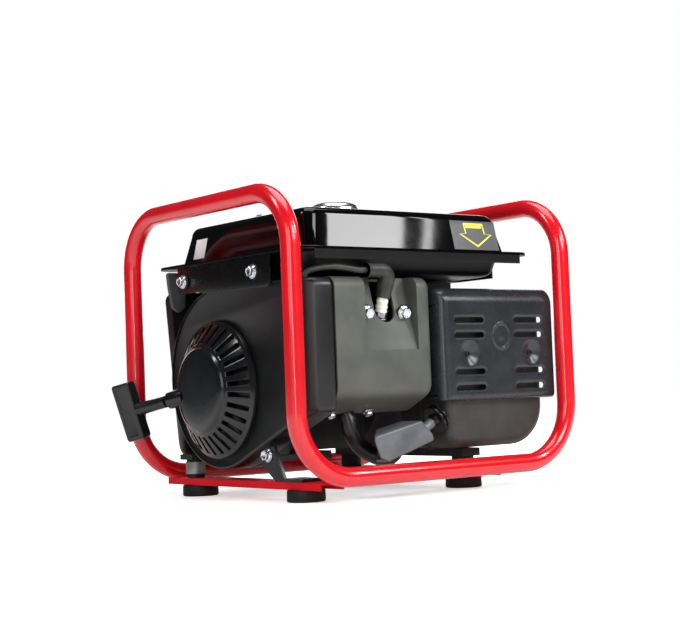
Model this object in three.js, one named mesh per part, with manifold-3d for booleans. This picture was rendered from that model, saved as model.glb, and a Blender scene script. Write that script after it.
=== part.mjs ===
// Portable two-stroke generator in a bent-tube frame.
// Millimetres, +Z up, +X towards the alternator end, -X towards the recoil starter,
// -Y is the cylinder and muffler side, +Y is the control side.
// Shapes are laid out about the middle of the tube frame, on the ground, and the whole
// group is then moved along X so that its origin is the middle of its own base.
import * as THREE from 'three';
import { mergeVertices } from 'three/addons/utils/BufferGeometryUtils.js';
import Module from 'manifold-3d';

const wasm = await Module();
wasm.setup();

// ---------------------------------------------------------------- driving dimensions
const ORIGIN_SHIFT = 12.48;     // from the middle of the frame to the middle of the whole part
const GAP = 0.3;                // clearance between pieces that touch

const FRAME_LENGTH = 388;
const FRAME_WIDTH = 328;
const FRAME_HEIGHT = 320;
const TUBE_R = 10;
const POST_X = FRAME_LENGTH / 2 - TUBE_R;
const POST_Y = FRAME_WIDTH / 2 - TUBE_R;
const RAIL_Z = 24.5;
const HANDLE_Z = FRAME_HEIGHT - TUBE_R;
const TOP_BEND = 57;
const BOTTOM_BEND = 65;
const TUBE_SEAM_X = 60;

const CHANNEL_X = [-137, 75];   // centres of the two cross channels
const CHANNEL_WIDTH = 30;
const CHANNEL_TOP = 20;
const CHANNEL_LIP = 12.5;
const SHEET = 2;
const FOOT_R = 20;
const FOOT_Y = 100;

const CRANK_Y = 31;             // crankshaft axis, along X
const CRANK_Z = 116;
const BORE_X = -46;             // plane of the cylinder
const BORE_TILT = 17.5;         // degrees that the cylinder rises towards -Y
const BORE_R = 22.9;
const STROKE = 40;
const ROD_LENGTH = 75;
const WEB_R = 34;
const SHAFT_R = 8.5;

const HOUSING_X = [-155, -119.8, -100];   // front, side band's back, scroll's back
const SCROLL = { y: 29, z: 128, r: 97 };
const VENT_R = 74;
const VENT_FRONT = -180.5;
const SLOT_COUNT = 30;

const SIDE_Y = -137;            // outer face of the cylinder shroud and of the blower's side
const SHROUD = { x: [-119.5, 8], z: [104, 226], back: -45, wall: 2.5, belly: 86 };
// The recess is 'step' deep at its foot, and 'slope' is the depth gained per mm of height.
const RECESS = { x: [-81, -12], floor: 150, step: 1.8, slope: 0.279 };
const PLUG = { x: -46, y: -115.8, z: 182.5, lean: 16 };

const GUARD = { x: [13, 175], y: [-146, -85], z: [94, 215], wall: 1.6 };
const MUFFLER = { x: [28, 170.5], y: [-134, -48], z: [44, 200], wall: 2 };
const EXHAUST_PORT = { y: -60.6, z: 144.9, r: 10 };
const OUTLET = { x: 17.7, y: -126, z: 77, drop: 29.4 };

const TANK = { x: [-142, 141], y: [-120, 127], z: [230, 254, 300], wall: 1.8 };
const FLANGE = { x: [-160, 160], y: [-135, 146], thick: 1.5 };
const FILLER = { x: -20, y: -10, r: 20 };

const ALTERNATOR = { x: [2, 128], r: 68, wall: 4 };
const COVER = { x: [-150, -30], y: [130, 148], z: [36, 228] };
const PANEL = { x: [-27, 152], y: [130, 143], z: [92, 228] };

const HANDLE_AT = new THREE.Vector3(-201, 137, 96);
const ROPE_EXIT = new THREE.Vector3(-181.5, 87, 106.3);
const PULL = HANDLE_AT.clone().sub(ROPE_EXIT).normalize();
const BAR = new THREE.Vector3(-0.251, 0.101, 0.95).normalize();

// ---------------------------------------------------------------- materials
function finish(color, roughness, metalness) {
  return new THREE.MeshStandardMaterial({ color, roughness, metalness });
}

const RED = finish(0xd81524, 0.25, 0.0);
const BLACK_PLASTIC = finish(0x1a1b1c, 0.42, 0.0);
const SHROUD_PLASTIC = finish(0x2a2c2a, 0.6, 0.0);
const GREY_PLASTIC = finish(0x4a4d50, 0.55, 0.0);
const BLACK_STEEL = finish(0x0c0c0d, 0.35, 0.4);
const TANK_BLACK = finish(0x050506, 0.08, 0.0);
const HEAT_BLACK = finish(0x2b2b2a, 0.7, 0.2);
const CAST = finish(0x8a8c8c, 0.5, 0.9);
const STEEL = finish(0xa9abad, 0.3, 1.0);
const CHROME = finish(0xe2e4e6, 0.08, 1.0);
const COPPER = finish(0xa9622e, 0.4, 0.9);
const RUBBER = finish(0x161616, 0.8, 0.0);
const CERAMIC = finish(0xe9e7df, 0.3, 0.0);
const ROPE = finish(0x1c1c1d, 0.9, 0.0);
const FOAM = finish(0x2f3032, 0.95, 0.0);
const SWITCH_RED = finish(0xb01218, 0.4, 0.0);

// ---------------------------------------------------------------- geometry helpers
function signedVolume(geometry) {
  const at = geometry.attributes.position;
  const index = geometry.index.array;
  const [a, b, c] = [new THREE.Vector3(), new THREE.Vector3(), new THREE.Vector3()];
  let total = 0;
  for (let i = 0; i < index.length; i += 3) {
    a.fromBufferAttribute(at, index[i]);
    b.fromBufferAttribute(at, index[i + 1]);
    c.fromBufferAttribute(at, index[i + 2]);
    total += a.dot(b.cross(c)) / 6;
  }
  return total;
}

// A closed triangle mesh with shared corners and its faces pointing out.
function closed(source) {
  const bare = source.clone();
  for (const name of Object.keys(bare.attributes)) {
    if (name !== 'position') bare.deleteAttribute(name);
  }
  const merged = mergeVertices(bare, 1e-4);
  const index = [];
  for (let i = 0; i < merged.index.count; i += 3) {
    const [a, b, c] = [0, 1, 2].map((k) => merged.index.getX(i + k));
    if (a !== b && b !== c && c !== a) index.push(a, b, c);
  }
  merged.setIndex(index);
  if (signedVolume(merged) < 0) {
    for (let i = 0; i < index.length; i += 3) [index[i], index[i + 1]] = [index[i + 1], index[i]];
    merged.setIndex(index);
  }
  return merged;
}

function solid(source) {
  const geometry = closed(source);
  return new wasm.Manifold(new wasm.Mesh({
    numProp: 3,
    vertProperties: new Float32Array(geometry.attributes.position.array),
    triVerts: new Uint32Array(geometry.index.array),
  }));
}

function geometryOf(manifold) {
  const mesh = manifold.getMesh();
  const geometry = new THREE.BufferGeometry();
  geometry.setAttribute('position', new THREE.BufferAttribute(mesh.vertProperties, 3));
  geometry.setIndex(new THREE.BufferAttribute(mesh.triVerts, 1));
  return geometry;
}

function join(...pieces) {
  return pieces.map(toSolid).reduce((all, next) => all.add(next));
}

function cut(body, ...tools) {
  return tools.map(toSolid).reduce((left, tool) => left.subtract(tool), toSolid(body));
}

function common(first, second) {
  return toSolid(first).intersect(toSolid(second));
}

function toSolid(piece) {
  return piece.isBufferGeometry ? solid(piece) : piece;
}

function block(x0, x1, y0, y1, z0, z1) {
  const geometry = new THREE.BoxGeometry(x1 - x0, y1 - y0, z1 - z0);
  return geometry.translate((x0 + x1) / 2, (y0 + y1) / 2, (z0 + z1) / 2);
}

// An outline pushed along an axis. The outline is in (y, z) for x, (x, z) for y, (x, y) for z.
function prism(outline, axis, from, to, bevel = 0, bevelSteps = 2, curveSegments = 2) {
  const geometry = new THREE.ExtrudeGeometry(outline, {
    depth: to - from - 2 * bevel,
    bevelEnabled: bevel > 0,
    bevelSize: bevel,
    bevelThickness: bevel,
    bevelOffset: -bevel,
    bevelSegments: bevelSteps,
    curveSegments,
  });
  geometry.translate(0, 0, axis === 'y' ? -to + bevel : from + bevel);
  const turn = new THREE.Matrix4();
  if (axis === 'x') turn.set(0, 0, 1, 0, 1, 0, 0, 0, 0, 1, 0, 0, 0, 0, 0, 1);
  if (axis === 'y') turn.set(1, 0, 0, 0, 0, 0, -1, 0, 0, 1, 0, 0, 0, 0, 0, 1);
  return geometry.applyMatrix4(turn);
}

function roundedRect(u0, u1, v0, v1, r) {
  const shape = new THREE.Shape();
  shape.moveTo(u0 + r, v0);
  shape.absarc(u1 - r, v0 + r, r, -Math.PI / 2, 0, false);
  shape.absarc(u1 - r, v1 - r, r, 0, Math.PI / 2, false);
  shape.absarc(u0 + r, v1 - r, r, Math.PI / 2, Math.PI, false);
  shape.absarc(u0 + r, v0 + r, r, Math.PI, 1.5 * Math.PI, false);
  return shape;
}

function polygon(points) {
  return new THREE.Shape(points.map(([u, v]) => new THREE.Vector2(u, v)));
}

// A turned piece: profile points are [radius, distance along the axis].
function turned(profile, segments, at, direction) {
  const points = profile.map(([r, h]) => new THREE.Vector2(r, h));
  const geometry = new THREE.LatheGeometry(points, segments);
  const turn = new THREE.Quaternion().setFromUnitVectors(new THREE.Vector3(0, 1, 0), direction);
  return geometry.applyQuaternion(turn).translate(at.x, at.y, at.z);
}

const X_AXIS = new THREE.Vector3(1, 0, 0);
const Y_AXIS = new THREE.Vector3(0, 1, 0);
const Z_AXIS = new THREE.Vector3(0, 0, 1);

function rod(r, length, at, direction, segments = 16) {
  return turned([[0, 0], [r, 0], [r, length], [0, length]], segments, at, direction);
}

function ring(inner, outer, length, at, direction, segments = 24) {
  const profile = [[inner, 0], [outer, 0], [outer, length], [inner, length], [inner, 0]];
  return turned(profile, segments, at, direction);
}

function crankPoint(x) {
  return new THREE.Vector3(x, CRANK_Y, CRANK_Z);
}

// Straight runs joined by round bends, with stations only where the tube turns.
class BentPath extends THREE.Curve {
  constructor(corners, bendRadii, stepsPerBend) {
    super();
    this.stations = [];
    const ends = [corners[0], corners[corners.length - 1]];
    this.add(ends[0], corners[1].clone().sub(ends[0]).normalize());
    for (let i = 1; i < corners.length - 1; i += 1) {
      this.bend(corners[i - 1], corners[i], corners[i + 1], bendRadii[i - 1], stepsPerBend);
    }
    this.add(ends[1], ends[1].clone().sub(corners[corners.length - 2]).normalize());
  }

  add(point, tangent) {
    this.stations.push({ point, tangent });
  }

  bend(before, corner, after, radius, steps) {
    const into = corner.clone().sub(before).normalize();
    const out = after.clone().sub(corner).normalize();
    const angle = into.angleTo(out);
    const reach = radius * Math.tan(angle / 2);
    const start = corner.clone().addScaledVector(into, -reach);
    const side = out.clone().addScaledVector(into, -out.dot(into)).normalize();
    const centre = start.clone().addScaledVector(side, radius);
    for (let k = 0; k <= steps; k += 1) {
      const turn = (angle * k) / steps;
      const point = centre.clone()
        .addScaledVector(side, -radius * Math.cos(turn))
        .addScaledVector(into, radius * Math.sin(turn));
      const tangent = into.clone().multiplyScalar(Math.cos(turn)).addScaledVector(side, Math.sin(turn));
      this.add(point, tangent);
    }
  }

  station(u) {
    return this.stations[Math.round(u * (this.stations.length - 1))];
  }

  getPoint(t) {
    return this.station(t).point.clone();
  }

  getPointAt(u) {
    return this.station(u).point.clone();
  }

  getTangentAt(u) {
    return this.station(u).tangent.clone();
  }

  getSpacedPoints() {
    return this.stations.map(({ point }) => point.clone());
  }
}

function circleShape(r, sides) {
  const points = [];
  for (let k = 0; k < sides; k += 1) {
    const angle = (k / sides) * 2 * Math.PI;
    points.push(new THREE.Vector2(r * Math.cos(angle), r * Math.sin(angle)));
  }
  return new THREE.Shape(points);
}

function tubeAlong(path, r, sides, steps) {
  return new THREE.ExtrudeGeometry(circleShape(r, sides), { steps, extrudePath: path });
}

function bentTube(corners, radii, r, sides, stepsPerBend) {
  const path = new BentPath(corners.map((c) => new THREE.Vector3(...c)), radii, stepsPerBend);
  return tubeAlong(path, r, sides, path.stations.length - 1);
}

function smoothTube(points, r, sides, steps) {
  const path = new THREE.CatmullRomCurve3(points.map((p) => new THREE.Vector3(...p)), false, 'centripetal');
  return tubeAlong(path, r, sides, steps);
}

// A stack of rounded rectangles, one above the other, closed at both ends.
function stack(levels, perCorner = 4) {
  const points = [];
  const index = [];
  const count = 4 * (perCorner + 1);
  for (const { x, y, z, r } of levels) {
    const corners = [[x[1] - r, y[0] + r], [x[1] - r, y[1] - r], [x[0] + r, y[1] - r], [x[0] + r, y[0] + r]];
    corners.forEach(([cx, cy], quarter) => {
      for (let k = 0; k <= perCorner; k += 1) {
        const angle = ((quarter - 1 + k / perCorner) * Math.PI) / 2;
        points.push(cx + r * Math.cos(angle), cy + r * Math.sin(angle), z);
      }
    });
  }
  for (let level = 0; level + 1 < levels.length; level += 1) {
    for (let k = 0; k < count; k += 1) {
      const a = level * count + k;
      const b = level * count + ((k + 1) % count);
      index.push(a, b, b + count, a, b + count, a + count);
    }
  }
  const top = (levels.length - 1) * count;
  for (let k = 1; k + 1 < count; k += 1) {
    index.push(0, k + 1, k, top, top + k, top + k + 1);
  }
  const geometry = new THREE.BufferGeometry();
  geometry.setAttribute('position', new THREE.Float32BufferAttribute(points, 3));
  geometry.setIndex(index);
  return geometry;
}

function inset(range, by) {
  return [range[0] + by, range[1] - by];
}

const generator = new THREE.Group();

function place(name, shape, material, parent = generator) {
  const geometry = closed(shape.isBufferGeometry ? shape : geometryOf(shape));
  geometry.computeVertexNormals();
  const mesh = new THREE.Mesh(geometry, material);
  mesh.name = name;
  parent.add(mesh);
  return mesh;
}

// ---------------------------------------------------------------- frame, channels and feet
function addFrame() {
  const bends = [BOTTOM_BEND, TOP_BEND, TOP_BEND, BOTTOM_BEND];
  const tubes = [['left_frame_tube', -1, TUBE_SEAM_X], ['right_frame_tube', 1, TUBE_SEAM_X + GAP]];
  for (const [name, side, seam] of tubes) {
    const x = side * POST_X;
    const corners = [
      [seam, -POST_Y, RAIL_Z],
      [x, -POST_Y, RAIL_Z],
      [x, -POST_Y, HANDLE_Z],
      [x, POST_Y, HANDLE_Z],
      [x, POST_Y, RAIL_Z],
      [seam, POST_Y, RAIL_Z],
    ];
    place(name, bentTube(corners, bends, TUBE_R, 12, 5), RED);
  }
}

function addChannel(name, x) {
  const half = CHANNEL_WIDTH / 2;
  const reach = POST_Y - TUBE_R + 0.2;
  const outer = block(x - half, x + half, -reach, reach, CHANNEL_LIP, CHANNEL_TOP);
  const hollow = block(x - half + SHEET, x + half - SHEET, -reach - 1, reach + 1, 0, CHANNEL_TOP - SHEET);
  place(name, cut(outer, hollow), RED);
}

function addFeet() {
  const neck = 11;
  const profile = [
    [0, 0], [FOOT_R - 1, 0], [FOOT_R, 1], [FOOT_R, CHANNEL_LIP - GAP], [neck, CHANNEL_LIP - GAP],
    [neck, CHANNEL_TOP - SHEET - GAP], [0, CHANNEL_TOP - SHEET - GAP],
  ];
  for (const [side, x] of [['left', CHANNEL_X[0]], ['right', CHANNEL_X[1]]]) {
    for (const [row, y] of [['near', -FOOT_Y], ['far', FOOT_Y]]) {
      place(`foot_${side}_${row}`, turned(profile, 16, new THREE.Vector3(x, y, 0), Z_AXIS), RUBBER);
    }
  }
}

// ---------------------------------------------------------------- engine mounts
const EAR_Z = [40, 46];         // the crankcase's two ears over the left channel
const NEAR_EAR_Y = -53;
const FAR_EAR_Y = 104;
const BEAM_Z = [34, 42.5];      // the alternator's foot beam over the right channel
const STEEL_FOOT = 3;

function addMounts() {
  const [left, right] = CHANNEL_X;
  const floor = CHANNEL_TOP + GAP;
  const strap = polygon([[-66, floor], [-112, floor], [-112, floor + STEEL_FOOT], [-82, floor + STEEL_FOOT],
    [-65, 56], [-56, 55], [-43, 49], [-43, 36]]);
  const flat = block(left - 12, left + 14, -112, -74, floor, floor + STEEL_FOOT);
  place('engine_foot', join(prism(strap, 'x', left - 13.5, left - 10), flat), BLACK_STEEL);
  const bushTop = EAR_Z[0] - GAP - floor;
  const bush = [[0, 0], [10, 0], [10, 3], [8, 5], [8, 14], [10, 16], [10, bushTop], [0, bushTop]];
  place('engine_mount', turned(bush, 12, new THREE.Vector3(left - 3, FAR_EAR_Y, floor), Z_AXIS), RUBBER);
  for (const [row, y] of [['near', -FOOT_Y], ['far', FOOT_Y]]) {
    const mount = rod(12, BEAM_Z[0] - GAP - floor, new THREE.Vector3(right, y, floor), Z_AXIS, 16);
    place(`alternator_mount_${row}`, mount, RUBBER);
  }
}

// ---------------------------------------------------------------- engine
// The cylinder's own frame: its Z runs from the crankshaft along the bore.
const TILT = new THREE.Matrix4()
  .makeTranslation(BORE_X, CRANK_Y, CRANK_Z)
  .multiply(new THREE.Matrix4().makeRotationX(THREE.MathUtils.degToRad(90 - BORE_TILT)));

function tilted(geometry) {
  return geometry.applyMatrix4(TILT);
}

const CASE_X = [-92, 0];
const CASE_R = 44;
const CAVITY_R = 38;
const WALL_X = 12;
const BEARING_R = 17.5;
const DECK = [48, 115];         // barrel's foot and top, along the bore
const HEAD_END = 152;
const CARB_Y = [77.3, 101.7];

function addCrankcase() {
  const round = rod(CASE_R, CASE_X[1] - CASE_X[0], crankPoint(CASE_X[0]), X_AXIS, 26);
  const neck = tilted(block(-32, 32, -32, 32, 0, DECK[0] - GAP));
  const intake = block(BORE_X - 16, BORE_X + 16, 60, CARB_Y[0] - GAP, CRANK_Z - 16, CRANK_Z + 16);
  const fullPlate = ring(30, 92, 5, new THREE.Vector3(-99.4, SCROLL.y, SCROLL.z), X_AXIS, 30);
  const backplate = cut(fullPlate, block(-110, -80, -100, -36, 85, 240));
  const hub = rod(36, 8, crankPoint(-99.4), X_AXIS, 24);
  const beam = block(-97, -75, -62, FAR_EAR_Y + 13, EAR_Z[0], EAR_Z[1] + 2);
  const leg = block(-97, -80, 6, 56, EAR_Z[1], 84);
  const farEar = block(CHANNEL_X[0] - 15, -90, FAR_EAR_Y - 12, FAR_EAR_Y + 13, ...EAR_Z);
  const nearEar = block(CHANNEL_X[0] - 9.5, -90, NEAR_EAR_Y - 9, NEAR_EAR_Y + 11, ...EAR_Z);
  const sump = block(-92, -4, -30, 62, 48, 88);
  const body = join(round, neck, intake, backplate, hub, beam, leg, farEar, nearEar, sump);
  const cavityLength = CASE_X[1] - CASE_X[0] - 2 * WALL_X;
  const cavity = rod(CAVITY_R, cavityLength, crankPoint(CASE_X[0] + WALL_X), X_AXIS, 26);
  const bore = tilted(rod(BORE_R + 0.6, 60, new THREE.Vector3(), Z_AXIS, 26));
  const seats = rod(BEARING_R + GAP, 110, crankPoint(-105), X_AXIS, 24);
  const port = rod(9, 60, new THREE.Vector3(BORE_X, 50, CRANK_Z), Y_AXIS, 16);
  place('crankcase', cut(body, cavity, bore, seats, port), CAST);
}

function addCylinder() {
  const [foot, top] = DECK;
  const finHalf = [40, 31];
  const core = rod(29, top - foot, new THREE.Vector3(0, 0, foot), Z_AXIS, 14);
  const base = block(-30, 30, -30, 30, foot, foot + 6);
  const fins = [70, 84, 98, 111.5].map((s) => (
    prism(roundedRect(-finHalf[0], finHalf[0], -finHalf[1], finHalf[1], 8), 'z', s, s + 2.5, 0, 1, 1)));
  const barrel = join(tilted(core), tilted(base), ...fins.map(tilted));
  const port = new THREE.Vector3(BORE_X + 15, EXHAUST_PORT.y, EXHAUST_PORT.z);
  const reach = MUFFLER.x[0] - GAP - port.x;
  const stub = rod(14, reach, port, X_AXIS, 20);
  const flangeAt = new THREE.Vector3(MUFFLER.x[0] - GAP - 6, port.y, port.z);
  const flange = rod(20, 6, flangeAt, X_AXIS, 20);
  const bore = tilted(rod(BORE_R, 80, new THREE.Vector3(0, 0, 40), Z_AXIS, 24));
  const duct = rod(EXHAUST_PORT.r, reach + 2, port, X_AXIS, 16);
  place('cylinder_barrel', cut(join(barrel, stub, flange), bore, duct), CAST);

  const lean = THREE.MathUtils.degToRad(PLUG.lean);
  const plugAxis = new THREE.Vector3(0, -Math.sin(lean), Math.cos(lean));
  const plugAt = new THREE.Vector3(PLUG.x, PLUG.y, PLUG.z);
  const dome = tilted(rod(29, HEAD_END - top - GAP, new THREE.Vector3(0, 0, top + GAP), Z_AXIS, 14));
  const headFins = [115.3, 126, 137, 149.5].map((s) => tilted(
    prism(roundedRect(-finHalf[0], finHalf[0], -finHalf[1], finHalf[1], 8), 'z', s, s + 2.5, 0, 1, 1)));
  const seatDepth = 45;
  const boss = rod(8.4, seatDepth, plugAt.clone().addScaledVector(plugAxis, -seatDepth), plugAxis, 12);
  const chamber = tilted(new THREE.SphereGeometry(22, 12, 8).translate(0, 0, 122));
  const chamberMouth = tilted(rod(22, 12, new THREE.Vector3(0, 0, 110), Z_AXIS, 20));
  const thread = rod(5.5, 60, plugAt.clone().addScaledVector(plugAxis, -38), plugAxis, 8);
  const seatCut = rod(16, 30, plugAt, plugAxis, 12);
  const head = cut(join(dome, boss, ...headFins), chamber, chamberMouth, thread, seatCut);
  place('cylinder_head', head, CAST);

  const plugBody = [
    [0, -14], [5, -14], [5, 0.4], [7.6, 0.4], [7.6, 8.5], [6.2, 10], [6.2, 20], [5.2, 21],
    [5.2, 34], [3, 36], [3, 40], [0, 40],
  ];
  place('spark_plug', turned(plugBody, 12, plugAt, plugAxis), CERAMIC);

  const bootFoot = plugAt.clone().addScaledVector(plugAxis, 24);
  const elbow = plugAt.clone().addScaledVector(plugAxis, 52).add(new THREE.Vector3(2, 0, 0));
  const bootEnd = elbow.clone().add(new THREE.Vector3(-29, 0, 0));
  const sleeve = bentTube([bootFoot.toArray(), elbow.toArray(), bootEnd.toArray()], [9], 7.8, 12, 4);
  const socket = rod(5.5, 22, plugAt.clone().addScaledVector(plugAxis, 20), plugAxis, 12);
  place('plug_cap', cut(sleeve, socket), RUBBER);

  const leadRoute = [
    [bootEnd.x - GAP, bootEnd.y, bootEnd.z], [-86, -130, 232.8], [-110, -128, 235.5], [-130, -123, 234],
    [-142, -119, 229], [-144, -117, 216], [-142, -106, 200], [-136, -86, 184], [-130, -66, 172],
    [-122, -54, 165], [-114, -46, 162.5], [-110.5, -40.8, 164.6], [-110, -34.4, 169.4],
  ];
  place('ignition_lead', smoothTube(leadRoute, 3.3, 8, 26), RUBBER);

  const coil = join(block(-7, 7, -20, 20, 6, 22), block(-5, 5, -20, -12, -6, 8), block(-5, 5, 12, 20, -6, 8));
  const coilMesh = place('ignition_coil', coil, BLACK_PLASTIC);
  coilMesh.rotation.x = Math.atan2(0.6, 0.8);
  const radial = [-0.6, 0.8];
  const coilR = 68;
  coilMesh.position.set(-110, CRANK_Y + radial[0] * coilR, CRANK_Z + radial[1] * coilR);
}

// ---------------------------------------------------------------- crankshaft and piston
const THROW = STROKE / 2;
const WEB_GAP = 11;             // half the space between the webs
const WEB_THICK = 20;
const CRANK_ENDS = [-141, 126];

function web(x) {
  const disc = rod(WEB_R, WEB_THICK, crankPoint(x), X_AXIS, 32);
  const relief = rod(7, WEB_THICK + 2, crankPoint(x - 1).add(new THREE.Vector3(0, 19, -6)), X_AXIS, 12);
  return cut(disc, relief);
}

function addCrankshaft() {
  const leftWeb = BORE_X - WEB_GAP - WEB_THICK;
  const leftShaft = rod(SHAFT_R, leftWeb + 1 - CRANK_ENDS[0], crankPoint(CRANK_ENDS[0]), X_AXIS, 20);
  place('crankshaft_left', join(web(leftWeb), leftShaft), STEEL);
  const rightWeb = BORE_X + WEB_GAP;
  const rightFrom = rightWeb + WEB_THICK - 1;
  const rightShaft = rod(SHAFT_R, CRANK_ENDS[1] - rightFrom, crankPoint(rightFrom), X_AXIS, 20);
  place('crankshaft_right', join(web(rightWeb), rightShaft), STEEL);
  for (const [name, x] of [['left_bearing', CASE_X[0] + 0.5], ['right_bearing', CASE_X[1] - 11.5]]) {
    place(name, ring(SHAFT_R + GAP, BEARING_R, 11, crankPoint(x), X_AXIS, 20), STEEL);
  }
}

function addPistonGroup() {
  const group = new THREE.Group();
  group.applyMatrix4(TILT);
  generator.add(group);
  const bigEnd = -THROW;
  const smallEnd = bigEnd + ROD_LENGTH;
  const crown = 18;
  const skirt = 17;
  const pinR = 6;
  const centre = new THREE.Vector3(0, 0, smallEnd);
  const shell = rod(BORE_R - GAP - 0.2, crown + skirt, new THREE.Vector3(0, 0, smallEnd - skirt), Z_AXIS, 28);
  const hollow = rod(BORE_R - 3.5, skirt + 12, new THREE.Vector3(0, 0, smallEnd - skirt - 1), Z_AXIS, 24);
  const boss = rod(9.5, 2 * BORE_R - 7, centre.clone().setX(-BORE_R + 3.5), X_AXIS, 16);
  const bossRoom = block(-8, 8, -12, 12, smallEnd - skirt - 1, smallEnd + 11);
  const pinHole = rod(pinR + GAP, 60, centre.clone().setX(-30), X_AXIS, 16);
  place('piston', cut(join(cut(shell, hollow), boss), bossRoom, pinHole), CAST, group);
  place('wrist_pin', ring(3.5, pinR, 38, centre.clone().setX(-19), X_AXIS, 16), STEEL, group);

  const eye = (r, z) => rod(r, 12, new THREE.Vector3(-6, 0, z), X_AXIS, 20);
  const beam = block(-3, 3, -5, 5, bigEnd + 8, smallEnd - 6);
  const conrod = join(eye(14, bigEnd), eye(9, smallEnd), beam);
  const holes = [rod(8 + GAP, 14, new THREE.Vector3(-7, 0, bigEnd), X_AXIS, 16),
    rod(pinR + GAP, 14, new THREE.Vector3(-7, 0, smallEnd), X_AXIS, 16)];
  place('connecting_rod', cut(conrod, ...holes), STEEL, group);
  const pinLength = 2 * (WEB_GAP - 1);
  place('crank_pin', rod(8, pinLength, new THREE.Vector3(-WEB_GAP + 1, 0, bigEnd), X_AXIS, 16), STEEL, group);
}

// ---------------------------------------------------------------- blower, flywheel and recoil starter
// Scroll circle with a square near corner, drawn in (y, z).
function blowerOutline(by) {
  const r = SCROLL.r - by;
  const nearY = SIDE_Y + by;
  const top = SCROLL.z + SCROLL.r - by;
  const low = 91 + by;
  const cornerR = 9;
  const shape = new THREE.Shape();
  const lowAngle = THREE.MathUtils.degToRad(-112.2);
  shape.absarc(SCROLL.y, SCROLL.z, r, lowAngle, Math.PI / 2, false);
  shape.lineTo(nearY + cornerR, top);
  shape.absarc(nearY + cornerR, top - cornerR, cornerR, Math.PI / 2, Math.PI, false);
  shape.lineTo(nearY, low + 2);
  shape.lineTo(nearY + 5, low - 3);
  return shape;
}

function scrollRod(r, x0, x1, segments = 36) {
  return rod(r, x1 - x0, new THREE.Vector3(x0, SCROLL.y, SCROLL.z), X_AXIS, segments);
}

function addBlower() {
  const [front, band, back] = HOUSING_X;
  const wall = 2.5;
  const bevel = 8;
  const domed = prism(blowerOutline(0), 'x', front, band + 2 * bevel, bevel, 2, 9);
  const bandPart = common(domed, block(front - 1, band, -200, 200, 0, 300));
  // The near front edge is a broad flat chamfer, drawn here in (x, y) with its face moved in by 'by'.
  const chamfer = (by) => {
    const [nx, ny] = [0.742 * by, 0.671 * by];
    const corner = polygon([[-170, -150], [-139.2 + nx, -142.9 + ny], [-160.7 + nx, -119.2 + ny]]);
    return prism(corner, 'z', 60, 240);
  };
  const outer = cut(join(bandPart, scrollRod(SCROLL.r, band - 1, back)), chamfer(0));
  const inner = cut(join(prism(blowerOutline(wall), 'x', front + wall, band + 1, 0, 1, 9),
    scrollRod(SCROLL.r - wall, band, back + 1)), chamfer(wall));
  const mouth = rod(VENT_R + GAP, 10, crankPoint(front - 2), X_AXIS, 40);
  const leadHole = rod(6, 20, new THREE.Vector3(-142.5, -118.5, 215), Z_AXIS, 12);
  const airWay = block(band + 0.5, back + 1, -100, -36, 108, 222);
  place('blower_housing', cut(outer, inner, mouth, leadHole, airWay), BLACK_PLASTIC);

  const plate = rod(60, 14, crankPoint(-118), X_AXIS, 28);
  const hub = rod(22, 24, crankPoint(-140), X_AXIS, 24);
  const carrier = ring(20, 78, 3, crankPoint(-120.5), X_AXIS, 28);
  const blades = [];
  const bladeCount = 14;
  for (let k = 0; k < bladeCount; k += 1) {
    const blade = block(-150, -119, -1.3, 1.3, 40, 77).applyMatrix4(
      new THREE.Matrix4().makeRotationX((k * 2 * Math.PI) / bladeCount));
    blades.push(blade.translate(0, CRANK_Y, CRANK_Z));
  }
  const bore = rod(SHAFT_R + GAP, 60, crankPoint(-145), X_AXIS, 20);
  place('flywheel', cut(join(plate, hub, carrier, ...blades), bore), CAST);

  const cup = [[0, 0], [26, 0], [34, -9], [34, -11.5], [32, -11.5], [24.5, -2], [0, -2], [0, 0]]
    .map(([r, h]) => [r, h + 11.5]);
  place('starter_cup', turned(cup, 20, crankPoint(-153.2), X_AXIS), STEEL);
}

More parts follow.
